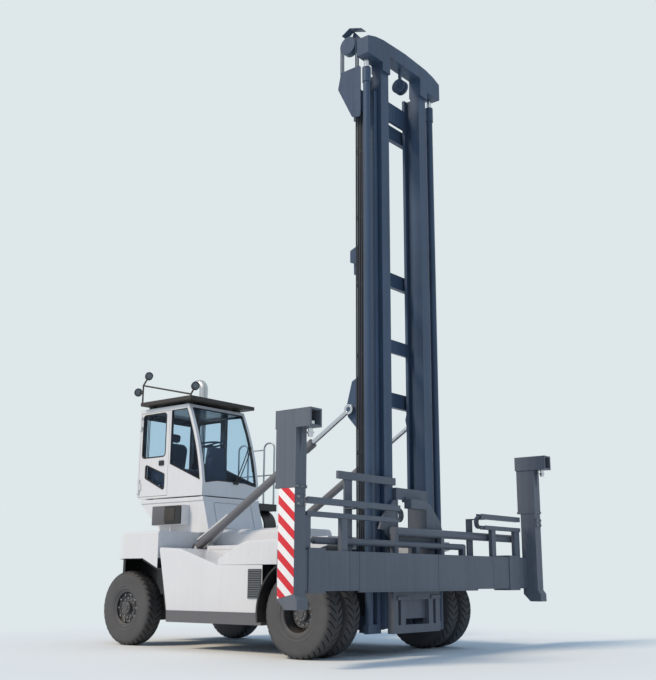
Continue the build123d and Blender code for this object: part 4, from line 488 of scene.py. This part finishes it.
def oblong(low, high, radius, steps=6):
    """A rectangle between two opposite corners, with round ones."""
    (left, foot), (right, head) = low, high
    return rounded([(left, foot), (right, foot), (right, head), (left, head)], radius, steps)


def filled(outline, steps):
    """A closed outline with this many equal steps on each of its stretches."""
    return np.concatenate([np.linspace(a, b, steps, endpoint=False)
                           for a, b in zip(outline, np.roll(outline, -1, 0))])


def plate(outline, levels, plane, at):
    """A flat piece: the outline drawn in by each level's inset and raised to its height above at; plane
    names the outline's two axes."""
    outline = np.asarray(outline, float)
    middle = outline.mean(0)
    size = np.abs(outline - middle).max(0)
    rings = np.stack([middle + (outline - middle) * (1 - inset / size) for inset, height in levels])
    points = np.zeros((len(levels), len(outline), 3))
    first, second = ("xyz".index(axis) for axis in plane)
    points[..., first], points[..., second] = rings[..., 0], rings[..., 1]
    points[..., 3 - first - second] = np.array([at + height for inset, height in levels])[:, None]
    return grid(points, round_columns=True, caps=True)


def strip(path, out, profile, closed=True):
    """A profile carried along a path: its first number runs to the path's inner side, its second along the
    outward direction."""
    path = np.asarray(path, float)
    out = np.broadcast_to(np.asarray(out, float), path.shape)
    run = np.roll(path, -1, 0) - np.roll(path, 1, 0)
    if not closed:
        run[0], run[-1] = path[1] - path[0], path[-1] - path[-2]
    side = unit(np.cross(out, unit(run)))
    inward = np.sign(((path.mean(0) - path) * side).sum()) or 1.0
    profile = np.asarray(profile, float)
    across, proud = profile[None, :, :1], profile[None, :, 1:]
    points = path[:, None] + inward * side[:, None] * across + out[:, None] * proud
    return grid(points, round_rows=closed, round_columns=True, caps=not closed)


def tube(path, radius, sides=12):
    """A round bar along a path: a circle in the plane square to each stretch."""
    turn = circle(sides)
    path = np.asarray(path, float)
    run = unit(np.gradient(path, axis=0))
    side = unit(np.cross(run, askew))
    up = np.cross(run, side)
    ring = np.cos(turn)[None, :, None] * side[:, None] + np.sin(turn)[None, :, None] * up[:, None]
    return grid(path[:, None] + radius * ring, round_columns=True, caps=True)


def turned(profile, centre, sides=64):
    """A closed profile of radius and height along Y, turned about a Y axis through the centre."""
    radius, height = np.asarray(profile, float).T
    turn = circle(sides)[:, None]
    points = np.stack([radius * np.cos(turn), height + 0 * turn, radius * np.sin(turn)], -1)
    return grid(points + np.asarray(centre, float), round_rows=True, round_columns=True)


def hoop(section, sides):
    """A closed section of radius and height turned about the Z axis."""
    radius, height = np.asarray(section, float).T
    turn = circle(sides)[:, None]
    points = np.stack([radius * np.cos(turn), radius * np.sin(turn), height + 0 * turn], -1)
    return grid(points, round_rows=True, round_columns=True)


def dome(radius, rings, sides, height):
    """A lens on the Z axis: rings from near its middle to its rim at height(share of the radius, angle),
    over a flat back."""
    share, turn = np.meshgrid(np.linspace(0.02, 1, rings), circle(sides), indexing="ij")
    front = np.stack([radius * share * np.cos(turn), radius * share * np.sin(turn), height(share, turn)], -1)
    return grid(np.concatenate([front, front[[-1, 0]] * (1, 1, 0)]), round_columns=True, caps=True)


def hex_head(across, height):
    """A hexagon bolt head along +Z: six corners at its foot, at its chamfer and at its smaller top."""
    turn = np.arange(6) * np.pi / 3
    radius = across / math.sqrt(3) * np.array([1, 1, 0.82])
    points = np.stack([radius[:, None] * np.cos(turn), radius[:, None] * np.sin(turn),
                       height * np.array([0, 0.8, 1])[:, None] + 0 * turn], -1)
    return grid(points, round_columns=True, caps=True)


# Wheels
tyre_radius, rear_axle_x = 562.5, -3912
lug_count, groove_depth, chevron_slope, tread_edge_y = 36, 17, 0.85, 125
# columns: radius, distance from the tyre's middle plane, share of the groove's depth
tyre_section = np.array([
    (562.5, 0, 0), (562.4, 13, 0), (562.3, 16, 0.55), (562, 40, 0.6), (561.7, 44, 1), (561, 70, 1),
    (559.5, 95, 1), (556, 112, 1), (549, 125, 0.8), (538, 134, 0.4), (525, 140, 0.1), (512, 144, 0),
    (502, 146.5, 0), (499, 147.2, 0), (492, 148.5, 0), (478, 150.6, 0), (455, 152.3, 0), (427, 152.8, 0),
    (400, 152.2, 0), (372, 150.8, 0), (348, 148.5, 0), (344, 150, 0), (338, 150, 0), (334, 147, 0),
    (318, 144.5, 0), (305, 141.5, 0), (301, 144, 0), (289, 144, 0), (285, 138, 0), (274, 132, 0),
    (262, 128.5, 0)])
# places within one lug's pitch, and how deep the groove is at each
lug_places = np.array([0, 0.03, 0.12, 0.21, 0.24, 0.45, 0.65, 0.84])
lug_depths = np.array([0, 1, 1, 1, 0, 0, 0, 0])
# columns: name, Y of each tyre's middle, X of its axle, the CAD node it stands for, its wheel
tyre_sets = (("twin_tyres", (1578, 1209), 0, "front_tyres", "front_wheel"),
             ("steered_tyre", (1156,), rear_axle_x, "rear_tyre", "rear_wheel"))
# columns: name, X of the axle, wheel, and Y of the rim's ring, of the hub's drum and of its nose
hubs = (("drive", 0, "front_wheel", 1420.5, 1575, 1635),
        ("steered", rear_axle_x, "rear_wheel", 1241, 1239, 1299))
# columns: number in the circle, its radius, width across flats, height; on the ring, the drum and the nose
nut_circles = ((10, 206, 34, 20), (12, 140, 26, 12), (8, 76, 18, 7))
# columns: radius, height over the nose or the drum
hub_cap = np.array([(0.5, 0), (52, 0), (52, 5), (46, 8), (30, 8), (27, 4), (14, 4), (11, 7), (0.5, 7)])
drum_lip = np.array([(168, 0), (176, 0), (176, 6), (172, 9), (168, 6)])


def tyre(middle_y, axle_x):
    """A section of radius and width carried round the axle. Across the tread each line is turned by an angle
    that grows with the distance from the middle, which slants the lugs, and the groove's depth is taken
    along the section's normal."""
    section = np.vstack([tyre_section[:0:-1] * (1, -1, 1), tyre_section])
    radius, across, share = section.T
    tangent = np.gradient(section[:, :2], axis=0)
    normal = unit(np.stack([tangent[:, 1], -tangent[:, 0]], -1))
    turn = ((np.arange(lug_count)[:, None] + lug_places) / lug_count * 2 * np.pi).ravel()
    depth = np.tile(lug_depths, lug_count)[:, None] * share * groove_depth
    slant = chevron_slope * np.minimum(np.abs(across), tread_edge_y) / tyre_radius
    angle = turn[:, None] + slant
    reach = radius - depth * normal[:, 0]
    level = across - depth * normal[:, 1]
    points = np.stack([axle_x + reach * np.cos(angle), middle_y + level,
                       tyre_radius + reach * np.sin(angle)], -1)
    return grid(points, round_rows=True, round_columns=True), reach / 1000, depth / groove_depth


def wheels():
    """Twin tyres in front and single ones behind, and each rim's nuts in circles about the axle."""
    for side, word in both_sides:
        for name, middles, axle_x, node, wheel in tyre_sets:
            made = [tyre(side * middle, axle_x) for middle in middles]
            facts = {label: np.concatenate([m[i].ravel() for m in made])
                     for i, label in ((1, "radius"), (2, "recess"))}
            tyres = piece(f"{name}_{word}", [m[0] for m in made], tyre_rubber, f"{wheel}_{word}",
                          sharp=50, attributes=facts)
            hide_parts(f"{node}_{word}")
        for name, axle_x, wheel, *faces_y in hubs:
            nuts = []
            for (count, radius, across, height), y in zip(nut_circles, faces_y):
                turn = np.arange(count) * 2 * np.pi / count
                places = np.stack([axle_x + radius * np.cos(turn), side * y + 0 * turn,
                                   tyre_radius + radius * np.sin(turn)], -1)
                nuts.append(copies(hex_head(across, height), facing(places, (0, side, 0))))
            piece(f"{name}_nuts_{word}", nuts, plated_steel, f"{wheel}_{word}")
            rings = [turned(profile * (1, side), (axle_x, side * y, tyre_radius))
                     for profile, y in ((hub_cap, faces_y[2]), (drum_lip, faces_y[1]))]
            piece(f"{name}_hub_cap_{word}", rings, rim_enamel, f"{wheel}_{word}")


wheels()

# Warning sheets on the corner posts, and the posts' bolts
post_front_x, post_face_y, sheet_margin = 1103, 3043.2, 2
sheet_rear_z, sheet_front_z, sheet_top_z, sheet_corner = 786, 842, 2036, 8
# columns: inset and height of the sheet's levels
sheet_levels = ((0, 0), (0, 2.4), (1, 3))
bolt_face_x = 1119.2
# columns: Y and Z of the bolts, their heads' width across flats and height; on the clamp and on the flange
bolt_sets = (((2892, 3007), (1855, 1935), 30, 16), ((2862, 2947, 3030), (2058,), 20, 10))


def corner_posts():
    """A thin sheet with round corners on each post's outer face; bolts on its clamp and sleeve flange."""
    rear_x, front_x = post_rear_x + sheet_margin, post_front_x - sheet_margin
    outline = rounded([(rear_x, sheet_rear_z), (front_x, sheet_front_z), (front_x, sheet_top_z),
                       (rear_x, sheet_top_z)], sheet_corner)
    for side, word in both_sides:
        levels = [(inset, side * height) for inset, height in sheet_levels]
        sheet = plate(outline, levels, "xz", side * post_face_y)
        piece(f"warning_sheet_{word}", [sheet], stripes, f"arm_{word}")
        heads = []
        for places_y, places_z, across, height in bolt_sets:
            places = [(bolt_face_x, side * y, z) for y in places_y for z in places_z]
            heads.append(copies(hex_head(across, height), facing(places, (1, 0, 0))))
        piece(f"post_bolts_{word}", heads, plated_steel, f"arm_{word}")


corner_posts()

# Cab: seals, sliding bars, wiper
seal_width, seal_proud, seal_depth = 24, 4, 15.5
seal_section = np.array([(-6, 0.2), (-6, seal_proud - 1), (-4, seal_proud), (10, seal_proud),
                         (seal_width - 8, 0), (seal_width - 6, -seal_depth), (1, -seal_depth), (1, 0.2)])
door_face_y = 655
upper_window = oblong((-4462, 2998), (-3872, 3742), 60)
lower_window = rounded([(-4362, 2890), (-3872, 2705), (-3872, 2432), (-4362, 2657)], 35)
bar_places_x, bar_width, bar_low_z, bar_high_z = (-4344, -4310), 12, 3006, 3734
quarter_low_z, quarter_high_z, quarter_rear_x, quarter_slope_z = 2565, 3765, -3746, 300
rear_window = oblong((-531, 2582), (531, 3708), 12)
rear_window_x = -4550
screen_axis_x, screen_axis_z, screen_face = -7037.8, 2031.3, 4111.9
screen_corners = [(593, 3780), (593, 2520), (326, 2565), (-326, 2565), (-593, 2520), (-593, 3780)]
pillar, screen_corner = 62, 30
# how wide and how deep the seals are, as shares of the doors' seals
quarter_shares, screen_shares, rear_shares = (0.75, 0.8), (0.8, 0.8), (1, 0.9)
bar_levels = ((0, -10), (0, -3), (1.5, -1))


def side_path(outline, side):
    """A side-view outline of X and Z set on the cab's side."""
    return np.stack([outline[:, 0], side * door_face_y + 0 * outline[:, 0], outline[:, 1]], -1)


def on_screen(y, z, proud=0.0):
    """Points on the bowed windscreen: X from the circle about its axis, pushed out by proud."""
    y, z = np.broadcast_arrays(np.asarray(y, float), np.asarray(z, float))
    ahead = np.sqrt((screen_face + proud) ** 2 - (z - screen_axis_z) ** 2)
    return np.stack([screen_axis_x + ahead, y, z], -1)


def screen_out(path):
    """The direction out of the windscreen at each point of a path."""
    return unit((path - (screen_axis_x, 0, screen_axis_z)) * (1, 0, 1))


def seals():
    """Rubber round every pane: a section carried round its opening. The doors' sliding panes have bars too."""
    for side, word in both_sides:
        rings = [strip(side_path(window, side), (0, side, 0), seal_section)
                 for window in (upper_window, lower_window)]
        for x in bar_places_x:
            outline = [(x, bar_low_z), (x + bar_width, bar_low_z), (x + bar_width, bar_high_z),
                       (x, bar_high_z)]
            levels = [(inset, side * height) for inset, height in bar_levels]
            rings.append(plate(outline, levels, "xz", side * door_face_y))
        piece(f"door_seals_{word}", rings, seal_rubber, f"door_{word}")
    rings = []
    for side, word in both_sides:
        levels = np.linspace(quarter_low_z, quarter_high_z, 14)
        front = screen_axis_x + np.sqrt((screen_face - pillar) ** 2 - (levels - screen_axis_z) ** 2)
        outline = np.vstack([[(quarter_rear_x, quarter_low_z + quarter_slope_z)],
                             np.stack([front, levels], -1), [(quarter_rear_x, quarter_high_z)]])
        rings.append(strip(side_path(outline, side), (0, side, 0), seal_section * quarter_shares))
    path = on_screen(*filled(rounded(screen_corners, screen_corner), 8).T)
    rings.append(strip(path, screen_out(path), seal_section * screen_shares))
    path = np.stack([rear_window_x + 0 * rear_window[:, 0], rear_window[:, 0], rear_window[:, 1]], -1)
    rings.append(strip(path, (-1, 0, 0), seal_section * rear_shares))
    piece("cab_seals", rings, seal_rubber, "chassis")


# Y and Z of the wiper's pivot, of its arms' tip, and of its blade's ends; the arms' places beside their line
wiper_pivot, wiper_tip, wiper_arms = (95, 2545), (549, 3208), (-32, 32)
blade_low, blade_high = (540, 2778), (555, 3596)
blade_section = [(-11, -9), (-6, 2), (-9, 10), (9, 10), (6, 2), (11, -9)]
# each part's height over the glass, and the bars' radii and half lengths
arm_proud, blade_proud, bridge_proud, foot_proud = 26, 7, 20, 16
arm_radius, foot_radius, bridge_half, foot_half = 9, 17, 60, 50


def wiper():
    """Two parallel arms, a blade, the bridge between them and the pivot's foot, each a section carried over
    the windscreen's curve at its own height."""
    (pivot_y, pivot_z), (tip_y, tip_z) = wiper_pivot, wiper_tip
    line_y, line_z = np.linspace(wiper_pivot, wiper_tip, 12).T
    parts = [tube(on_screen(line_y + shift, line_z, arm_proud), arm_radius) for shift in wiper_arms]
    blade = on_screen(*np.linspace(blade_low, blade_high, 12).T, blade_proud)
    parts.append(strip(blade, screen_out(blade), blade_section, closed=False))
    bridge = on_screen(tip_y, np.array([tip_z - bridge_half, tip_z, tip_z + bridge_half]), bridge_proud)
    parts.append(tube(bridge, arm_radius))
    foot = on_screen(np.array([pivot_y - foot_half, pivot_y + foot_half]), pivot_z, foot_proud)
    parts.append(tube(np.linspace(foot[0], foot[1], 4), foot_radius))
    piece("windscreen_wiper", parts, moulded_black, "chassis")


seals()
wiper()

# Lamps
lamp_face, lens_radius = 31.3, 59
# columns: X and Z of each lamp's middle
lamp_places = ((-4552, 4150.3), (-4289.5, 4405.3), (-3119.4, 4096.3))
lamp_y, lamp_turn = -735, 35
flute_count, flute_height, lens_height = 18, 0.9, 7
# columns: radius and height of the lamp ring's section
lamp_ring = [(lens_radius - 3, 2), (lens_radius - 3, 9), (lens_radius + 1, 11), (lens_radius + 6, 9),
             (lens_radius + 6, 3.9)]


def fluted(share, turn):
    """The lens falls with the radius squared and ripples with the angle, most between middle and rim."""
    ripple = flute_height * np.cos(flute_count * turn) * share * (1 - share ** 6)
    return lens_height * (1 - share ** 2) + ripple


def lamps():
    """Each lens is a shallow fluted dome, and a ring holds it."""
    lens, ring = dome(lens_radius, 14, 72, fluted), hoop(lamp_ring, 72)
    angle = math.radians(-lamp_turn)
    out = np.array([math.cos(angle), math.sin(angle), 0])
    stands = facing(np.array([(x, lamp_y, z) for x, z in lamp_places]) + out * lamp_face, out)
    piece("lamp_lenses", [copies(lens, stands)], lamp_lens, "chassis")
    piece("lamp_rings", [copies(ring, stands)], moulded_black, "chassis")


lamps()

# Chain links on the cable carriers' loops: the loops' radius and middle height, and the links' pitch
chain_radius, chain_level, link_pitch = 77.5, 1846, 46
# columns: side and Y of each loop's middle, then X and facing of the link plates
loop_middles = ((1, 1474), (-1, 659))
link_faces = ((905.3, 1), (844.7, -1))
link_outline, link_levels = oblong((-24, -15), (24, 15), 14, steps=5), ((0, 0), (0, 2.5), (1.5, 4))


def chain_links():
    """Side plates along each loop: a rounded outline turned to the path at equal steps of arc."""
    count = int(math.pi * chain_radius / link_pitch)
    angles = (np.arange(count) + 0.5) * math.pi / count
    surfaces = []
    for side, middle_y in loop_middles:
        for x, out in link_faces:
            for angle in angles:
                place = np.array([side * (middle_y - chain_radius * math.sin(angle)),
                                  chain_level + chain_radius * math.cos(angle)])
                along = np.array([-side * math.cos(angle), -math.sin(angle)])
                across = np.array([-along[1], along[0]])
                link = place + link_outline[:, :1] * along + link_outline[:, 1:] * across
                levels = [(inset, out * height) for inset, height in link_levels]
                surfaces.append(plate(link, levels, "yz", x))
    piece("carrier_links", surfaces, moulded_black, "spreader")


chain_links()

# Seams on the spreader's front face
bead_section = [(-2.5, -0.5), (-1.8, 1.1), (0, 1.6), (1.8, 1.1), (2.5, -0.5)]
beam_face_x, beam_low_z, beam_high_z = 923.3, 868, 1343
# columns: name, Y of each joint, body
joints = (("beam_seams", (-1577, 250), "spreader"), ("arm_seam_left", (2760,), "arm_left"),
          ("arm_seam_right", (-2760,), "arm_right"))


def seams():
    """Thin dark lines where plates meet: a low half-round carried up each joint."""
    for name, places_y, body in joints:
        ends = [((beam_face_x, y, beam_low_z), (beam_face_x, y, beam_high_z)) for y in places_y]
        beads = [strip(np.linspace(*pair, 13), (1, 0, 0), bead_section, closed=False) for pair in ends]
        piece(name, beads, seal_rubber, body)


seams()

# Driver's seat: padded cushions on a ribbed base
seat_x, seat_floor = -4115, 2370.3
back_lean = math.radians(-81)
# depth and width of the cushions' sewn channels, and place, depth and width of their side seams
channel_depth, channel_width = 0.22, 0.035
side_seam, side_seam_depth, side_seam_width = 0.62, 0.2, 0.03
underside_share, pad_points = 0.92, 44
# columns: name; width, length, thickness, channels' places, pull and corner of the pad; its place and lean
cushions = (("seat_cushion", (470, 505, 118, (-0.3, 0.3), 0.08, 0.12), (seat_x, 0, 2791), 0),
            ("seat_back", (560, 480, 112, (-0.5, 0.5), 0.03, 0.4), (-4341, 0, 3044), back_lean),
            ("seat_headrest", (150, 270, 92, (), 0.0, 0.5), (-4401, 0, 3418), back_lean))
boot_outline, pan_outline = oblong((-158, -172), (158, 172), 50), oblong((-225, -235), (225, 235), 60)
boot_foot, boot_height, boot_ribs, rib_depth = 4, 318, 6, 9
# columns: inset and height of the pan's levels over the floor; X and Z along the headrest's stays
pan_levels = [(20, 322), (0, 334), (0, 352), (8, 358)]
stay_line = ((-4381, 3290), (-4386, 3322), (-4391, 3354))
stay_radius, stay_places_y = 7, (-60, 60)


def pad(width, length, thick, channels, pull, corner):
    """A crowned cushion: top and bottom sheets whose height falls to nothing at the rim, whose sides pull in
    between the corners, with sewn channels pressed in across it. The two numbers of each point run from -1
    to 1 across and along."""
    u, v = np.meshgrid(np.linspace(-1, 1, pad_points), np.linspace(-1, 1, pad_points), indexing="ij")
    x = u * (1 - pull * (1 - v ** 2)) * np.sqrt(1 - corner * v ** 6) * width / 2
    y = v * (1 - pull * (1 - u ** 2)) * np.sqrt(1 - corner * u ** 6) * length / 2
    crown = np.sqrt(np.clip((1 - u ** 6) * (1 - v ** 6), 0, 1)) * (1 - 0.12 * (u ** 2 + v ** 2))
    for line in channels:
        press = np.exp(-((v - line) / channel_width) ** 2) * np.clip(1 - np.abs(u) ** 8, 0, 1)
        crown = crown - channel_depth * press
    for line in (-side_seam, side_seam):
        press = np.exp(-((u - line) / side_seam_width) ** 2) * np.clip(1 - np.abs(v) ** 8, 0, 1)
        crown = crown - side_seam_depth * press
    rim = np.minimum(1 - np.abs(u), 1 - np.abs(v)) > 1e-9
    belly = np.sqrt(np.clip((1 - u ** 8) * (1 - v ** 8), 0, 1)) * underside_share
    return [grid(np.stack([x, y, thick / 2 * height * rim], -1)) for height in (crown, -belly)]


def stand(surfaces, place, lean):
    """Surfaces turned back by the lean about the Y axis, then moved to their place."""
    cos, sin = math.cos(lean), math.sin(lean)
    turn = np.array([[cos, 0, sin], [0, 1, 0], [-sin, 0, cos]])
    return [(points @ turn.T + place, faces) for points, faces in surfaces]


def driver_seat():
    """The cushion lies level, the back leans to the rear, and a ribbed boot joins the pan to the floor."""
    for name, sizes, place, lean in cushions:
        soft = piece(name, stand(pad(*sizes), place, lean), seat_cloth, "chassis", sharp=80)
        smooth = soft.modifiers.new("smooth", "SUBSURF")
        smooth.levels = smooth.render_levels = 1
        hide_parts("seat")
    share = np.linspace(0, 1, 25)
    inset = rib_depth * np.abs(np.sin(share * np.pi * boot_ribs))
    levels = list(zip(inset, boot_foot + boot_height * share))
    boot = plate(boot_outline + (seat_x, 0), levels, "xy", seat_floor)
    pan = plate(pan_outline + (seat_x, 0), pan_levels, "xy", seat_floor)
    stays = [tube([(x, y, z) for x, z in stay_line], stay_radius) for y in stay_places_y]
    base = piece("seat_base", [boot, pan, *stays], moulded_black, "chassis", sharp=50)
    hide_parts("seat")


driver_seat()

# The cab's fittings: instrument pod, side console with its lever, and the doors' handles
pod_face_x, dial_z, dial_radius, dial_places_y = -3404, 3085, 38, (-62, 62)
console_y, lever_y = -548, -433
pod_outline = rounded([(-185, 2962), (185, 2962), (150, 3165), (-150, 3165)], 34)
pod_levels, dial_levels = [(8, 0), (0, 9), (0, 92), (12, 106)], [(0, 0), (0, -4), (5, -6)]
console_outline = rounded([(-4440, 2376), (-3960, 2376), (-3900, 2872), (-3990, 2952), (-4440, 2900)], 28)
console_levels = [(8, 0), (0, 9), (0, 221), (8, 230)]
# columns: X and Z along the bar, its radius; the lever and its grip
lever_parts = ((((-4050, 2925), (-4044, 2975), (-4038, 3015)), 9),
               (((-4039, 3010), (-4034, 3050), (-4029, 3092)), 21))
# columns: outline, levels of inset and height; the handle's cover and its grip
handle_layers = ((oblong((-4014, 2849), (-3895, 2933), 14), ((0, 0.4), (0, 15), (3, 18))),
                 (oblong((-3998, 2874), (-3918, 2898), 8), ((0, 18), (0, 24), (3, 27))))


def cab_fittings():
    """Moulded covers, each a rounded outline drawn out in levels; the lever is a bar with a thicker grip."""
    pod = plate(pod_outline, pod_levels, "yz", pod_face_x)
    turn = circle(28)
    rim = np.stack([dial_radius * np.cos(turn), dial_z + dial_radius * np.sin(turn)], -1)
    dials = [plate(rim + (y, 0), dial_levels, "yz", pod_face_x) for y in dial_places_y]
    console = plate(console_outline, console_levels, "xz", console_y)
    lever = [tube([(x, lever_y, z) for x, z in line], radius) for line, radius in lever_parts]
    piece("cab_consoles", [pod, console, *dials, *lever], cab_plastic, "chassis")
    for side, word in both_sides:
        handle = [plate(outline, [(inset, side * height) for inset, height in levels], "xz",
                        side * door_face_y) for outline, levels in handle_layers]
        piece(f"door_handle_{word}", handle, moulded_black, f"door_{word}")


cab_fittings()

# The pedestal's hatch, the service box's plates and painted shade, the deck's aprons and the tail lamps
hatch_outline = oblong((-430, 1790), (430, 2205), 40)
# the pedestal's rear face: X at its foot and at its top, and their heights
hatch_low_x, hatch_high_x, hatch_low_z, hatch_high_z = -2780, -2930, 1720, 2270
# columns: name, two corners in X and Z, corner radius, levels of inset and height, Y, finish
service_plates = (
    # The first two plates are grey sheets of painted shade over the service box's recess.
    ("service_back_shade", (-3689, 1869), (-3361, 2146), 6, [(0, 0), (0, -4)], -695.5, sill_enamel),
    ("service_recess_shade", (-3955, 1856), (-3640, 2159), 12, [(0, -0.4), (0, -3), (2, -4)], -805, sill_enamel),
    ("service_unit", (-3640, 1860), (-3257, 2155), 16, [(0, -0.4), (0, -12), (5, -17)], -805, moulded_black),
    ("service_face", (-3640, 1912), (-3400, 2120), 10, [(0, 0), (0, -5), (4, -7)], -822, rack_enamel))
apron_outline = [(-2556, 1195), (-1150, 1195), (-1150, 1439), (-2556, 1439)]
apron_y, apron_thickness = 867, 10
tail_lens_radius, tail_x, tail_places_y, tail_places_z = 52, -4660, (-690, 690), (1215, 1085)
tail_ring = [(52, 0.3), (52, 14), (56, 16), (61, 14), (61, 0.3)]


def body_fittings():
    """A seam round the hatch on the leaning face, flat plates drawn out in levels, and domes on the tail
    whose height falls with the radius squared."""
    seam = filled(hatch_outline, 5)
    rise, drift = hatch_high_z - hatch_low_z, hatch_high_x - hatch_low_x
    path = np.stack([hatch_low_x + drift * (seam[:, 1] - hatch_low_z) / rise, seam[:, 0], seam[:, 1]], -1)
    out = unit(np.array([rise, 0, -drift], float))
    piece("pedestal_hatch_seam", [strip(path, out, bead_section)], sill_enamel, "chassis")
    for name, low, high, radius, levels, y, finish in service_plates:
        piece(name, [plate(oblong(low, high, radius), levels, "xz", y)], finish, "chassis")
    aprons = [plate(apron_outline, [(0, 0), (0, apron_thickness * side)], "xz", apron_y * side)
              for side, word in both_sides]
    piece("deck_aprons", aprons, white_enamel, "chassis")
    lens = dome(tail_lens_radius, 10, 48, lambda share, turn: 12 + 8 * (1 - share ** 2))
    stands = facing([(tail_x, y, z) for y in tail_places_y for z in tail_places_z], (-1, 0, 0))
    piece("tail_lenses", [copies(lens, stands)], red_lens, "chassis")
    piece("tail_lamp_rings", [copies(hoop(tail_ring, 48), stands)], moulded_black, "chassis")


body_fittings()

# The yard floor: pale, diffuse near the machine and plain background colour far out.
background = "#dee7ea"
floor_colour = "#eef1ef"
floor_radius, floor_sides = 120, 96
floor_fade_start, floor_fade_end = 4.2, 8.5


def yard_floor():
    """A flat disc: triangles from its middle to a ring of points."""
    angles = circle(floor_sides)
    ring = np.stack([np.cos(angles), np.sin(angles), np.zeros_like(angles)], 1)
    places = np.vstack([ring * floor_radius, [[0, 0, 0]]])
    faces = [(i, (i + 1) % floor_sides, floor_sides) for i in range(floor_sides)]
    mesh = bpy.data.meshes.new("yard_floor")
    mesh.from_pydata(places.tolist(), [], faces)
    floor = in_scene("yard_floor", mesh)
    material, tree, shader, place = new_material("pale_concrete")
    reach = add(tree, "VectorMath", {0: place}, operation="LENGTH").outputs["Value"]
    fade = add(tree, "MapRange", {"Value": reach, "From Min": floor_fade_start, "From Max": floor_fade_end},
               interpolation_type="SMOOTHSTEP").outputs["Result"]
    matt = add(tree, "BsdfDiffuse", {"Color": linear(floor_colour)}).outputs["BSDF"]
    glow = add(tree, "Emission", {"Color": linear(background), "Strength": 1}).outputs["Emission"]
    both = add(tree, "MixShader", {0: fade, 1: matt, 2: glow}).outputs["Shader"]
    connect(tree, tree.nodes["Material Output"], {"Surface": both})
    tree.nodes.remove(shader)
    mesh.materials.append(material)


yard_floor()

# Light: a soft sun over the machine's right side, and a pale blue sky that fills the shade.
sun_from = (-0.30, -0.85, 0.80)
sun_strength = 2.25
sun_softness_degrees = 14
sun_colour = "#ffebd2"
sky_colour = "#c4dfff"
sky_strength = 0.64


def light_it():
    """The sun's direction is the line from its place to the origin; the sky is a plain colour that fills the
    shade, and rays from the camera, mirrors and glass see the background's colour instead."""
    data = bpy.data.lights.new("sun", "SUN")
    data.energy = sun_strength
    data.angle = math.radians(sun_softness_degrees)
    data.color = linear(sun_colour)[:3]
    sun = in_scene("sun", data)
    sun.rotation_euler = Vector(sun_from).to_track_quat("Z", "Y").to_euler()
    world = bpy.data.worlds.new("sky")
    bpy.context.scene.world = world
    world.use_nodes = True
    tree = world.node_tree
    tree.nodes.clear()
    rays = add(tree, "LightPath").outputs
    seen = rays["Is Camera Ray"]
    for other in ("Is Glossy Ray", "Is Transmission Ray"):
        seen = add(tree, "Math", {0: seen, 1: rays[other]}, operation="MAXIMUM").outputs["Value"]
    fill = add(tree, "Background", {"Color": linear(sky_colour), "Strength": sky_strength})
    plain = add(tree, "Background", {"Color": linear(background), "Strength": 1})
    both = add(tree, "MixShader", {0: seen, 1: fill.outputs["Background"], 2: plain.outputs["Background"]})
    add(tree, "OutputWorld", {"Surface": both.outputs["Shader"]})


light_it()

bpy.context.scene.view_settings.view_transform = "Standard"
bpy.context.view_layer.update()
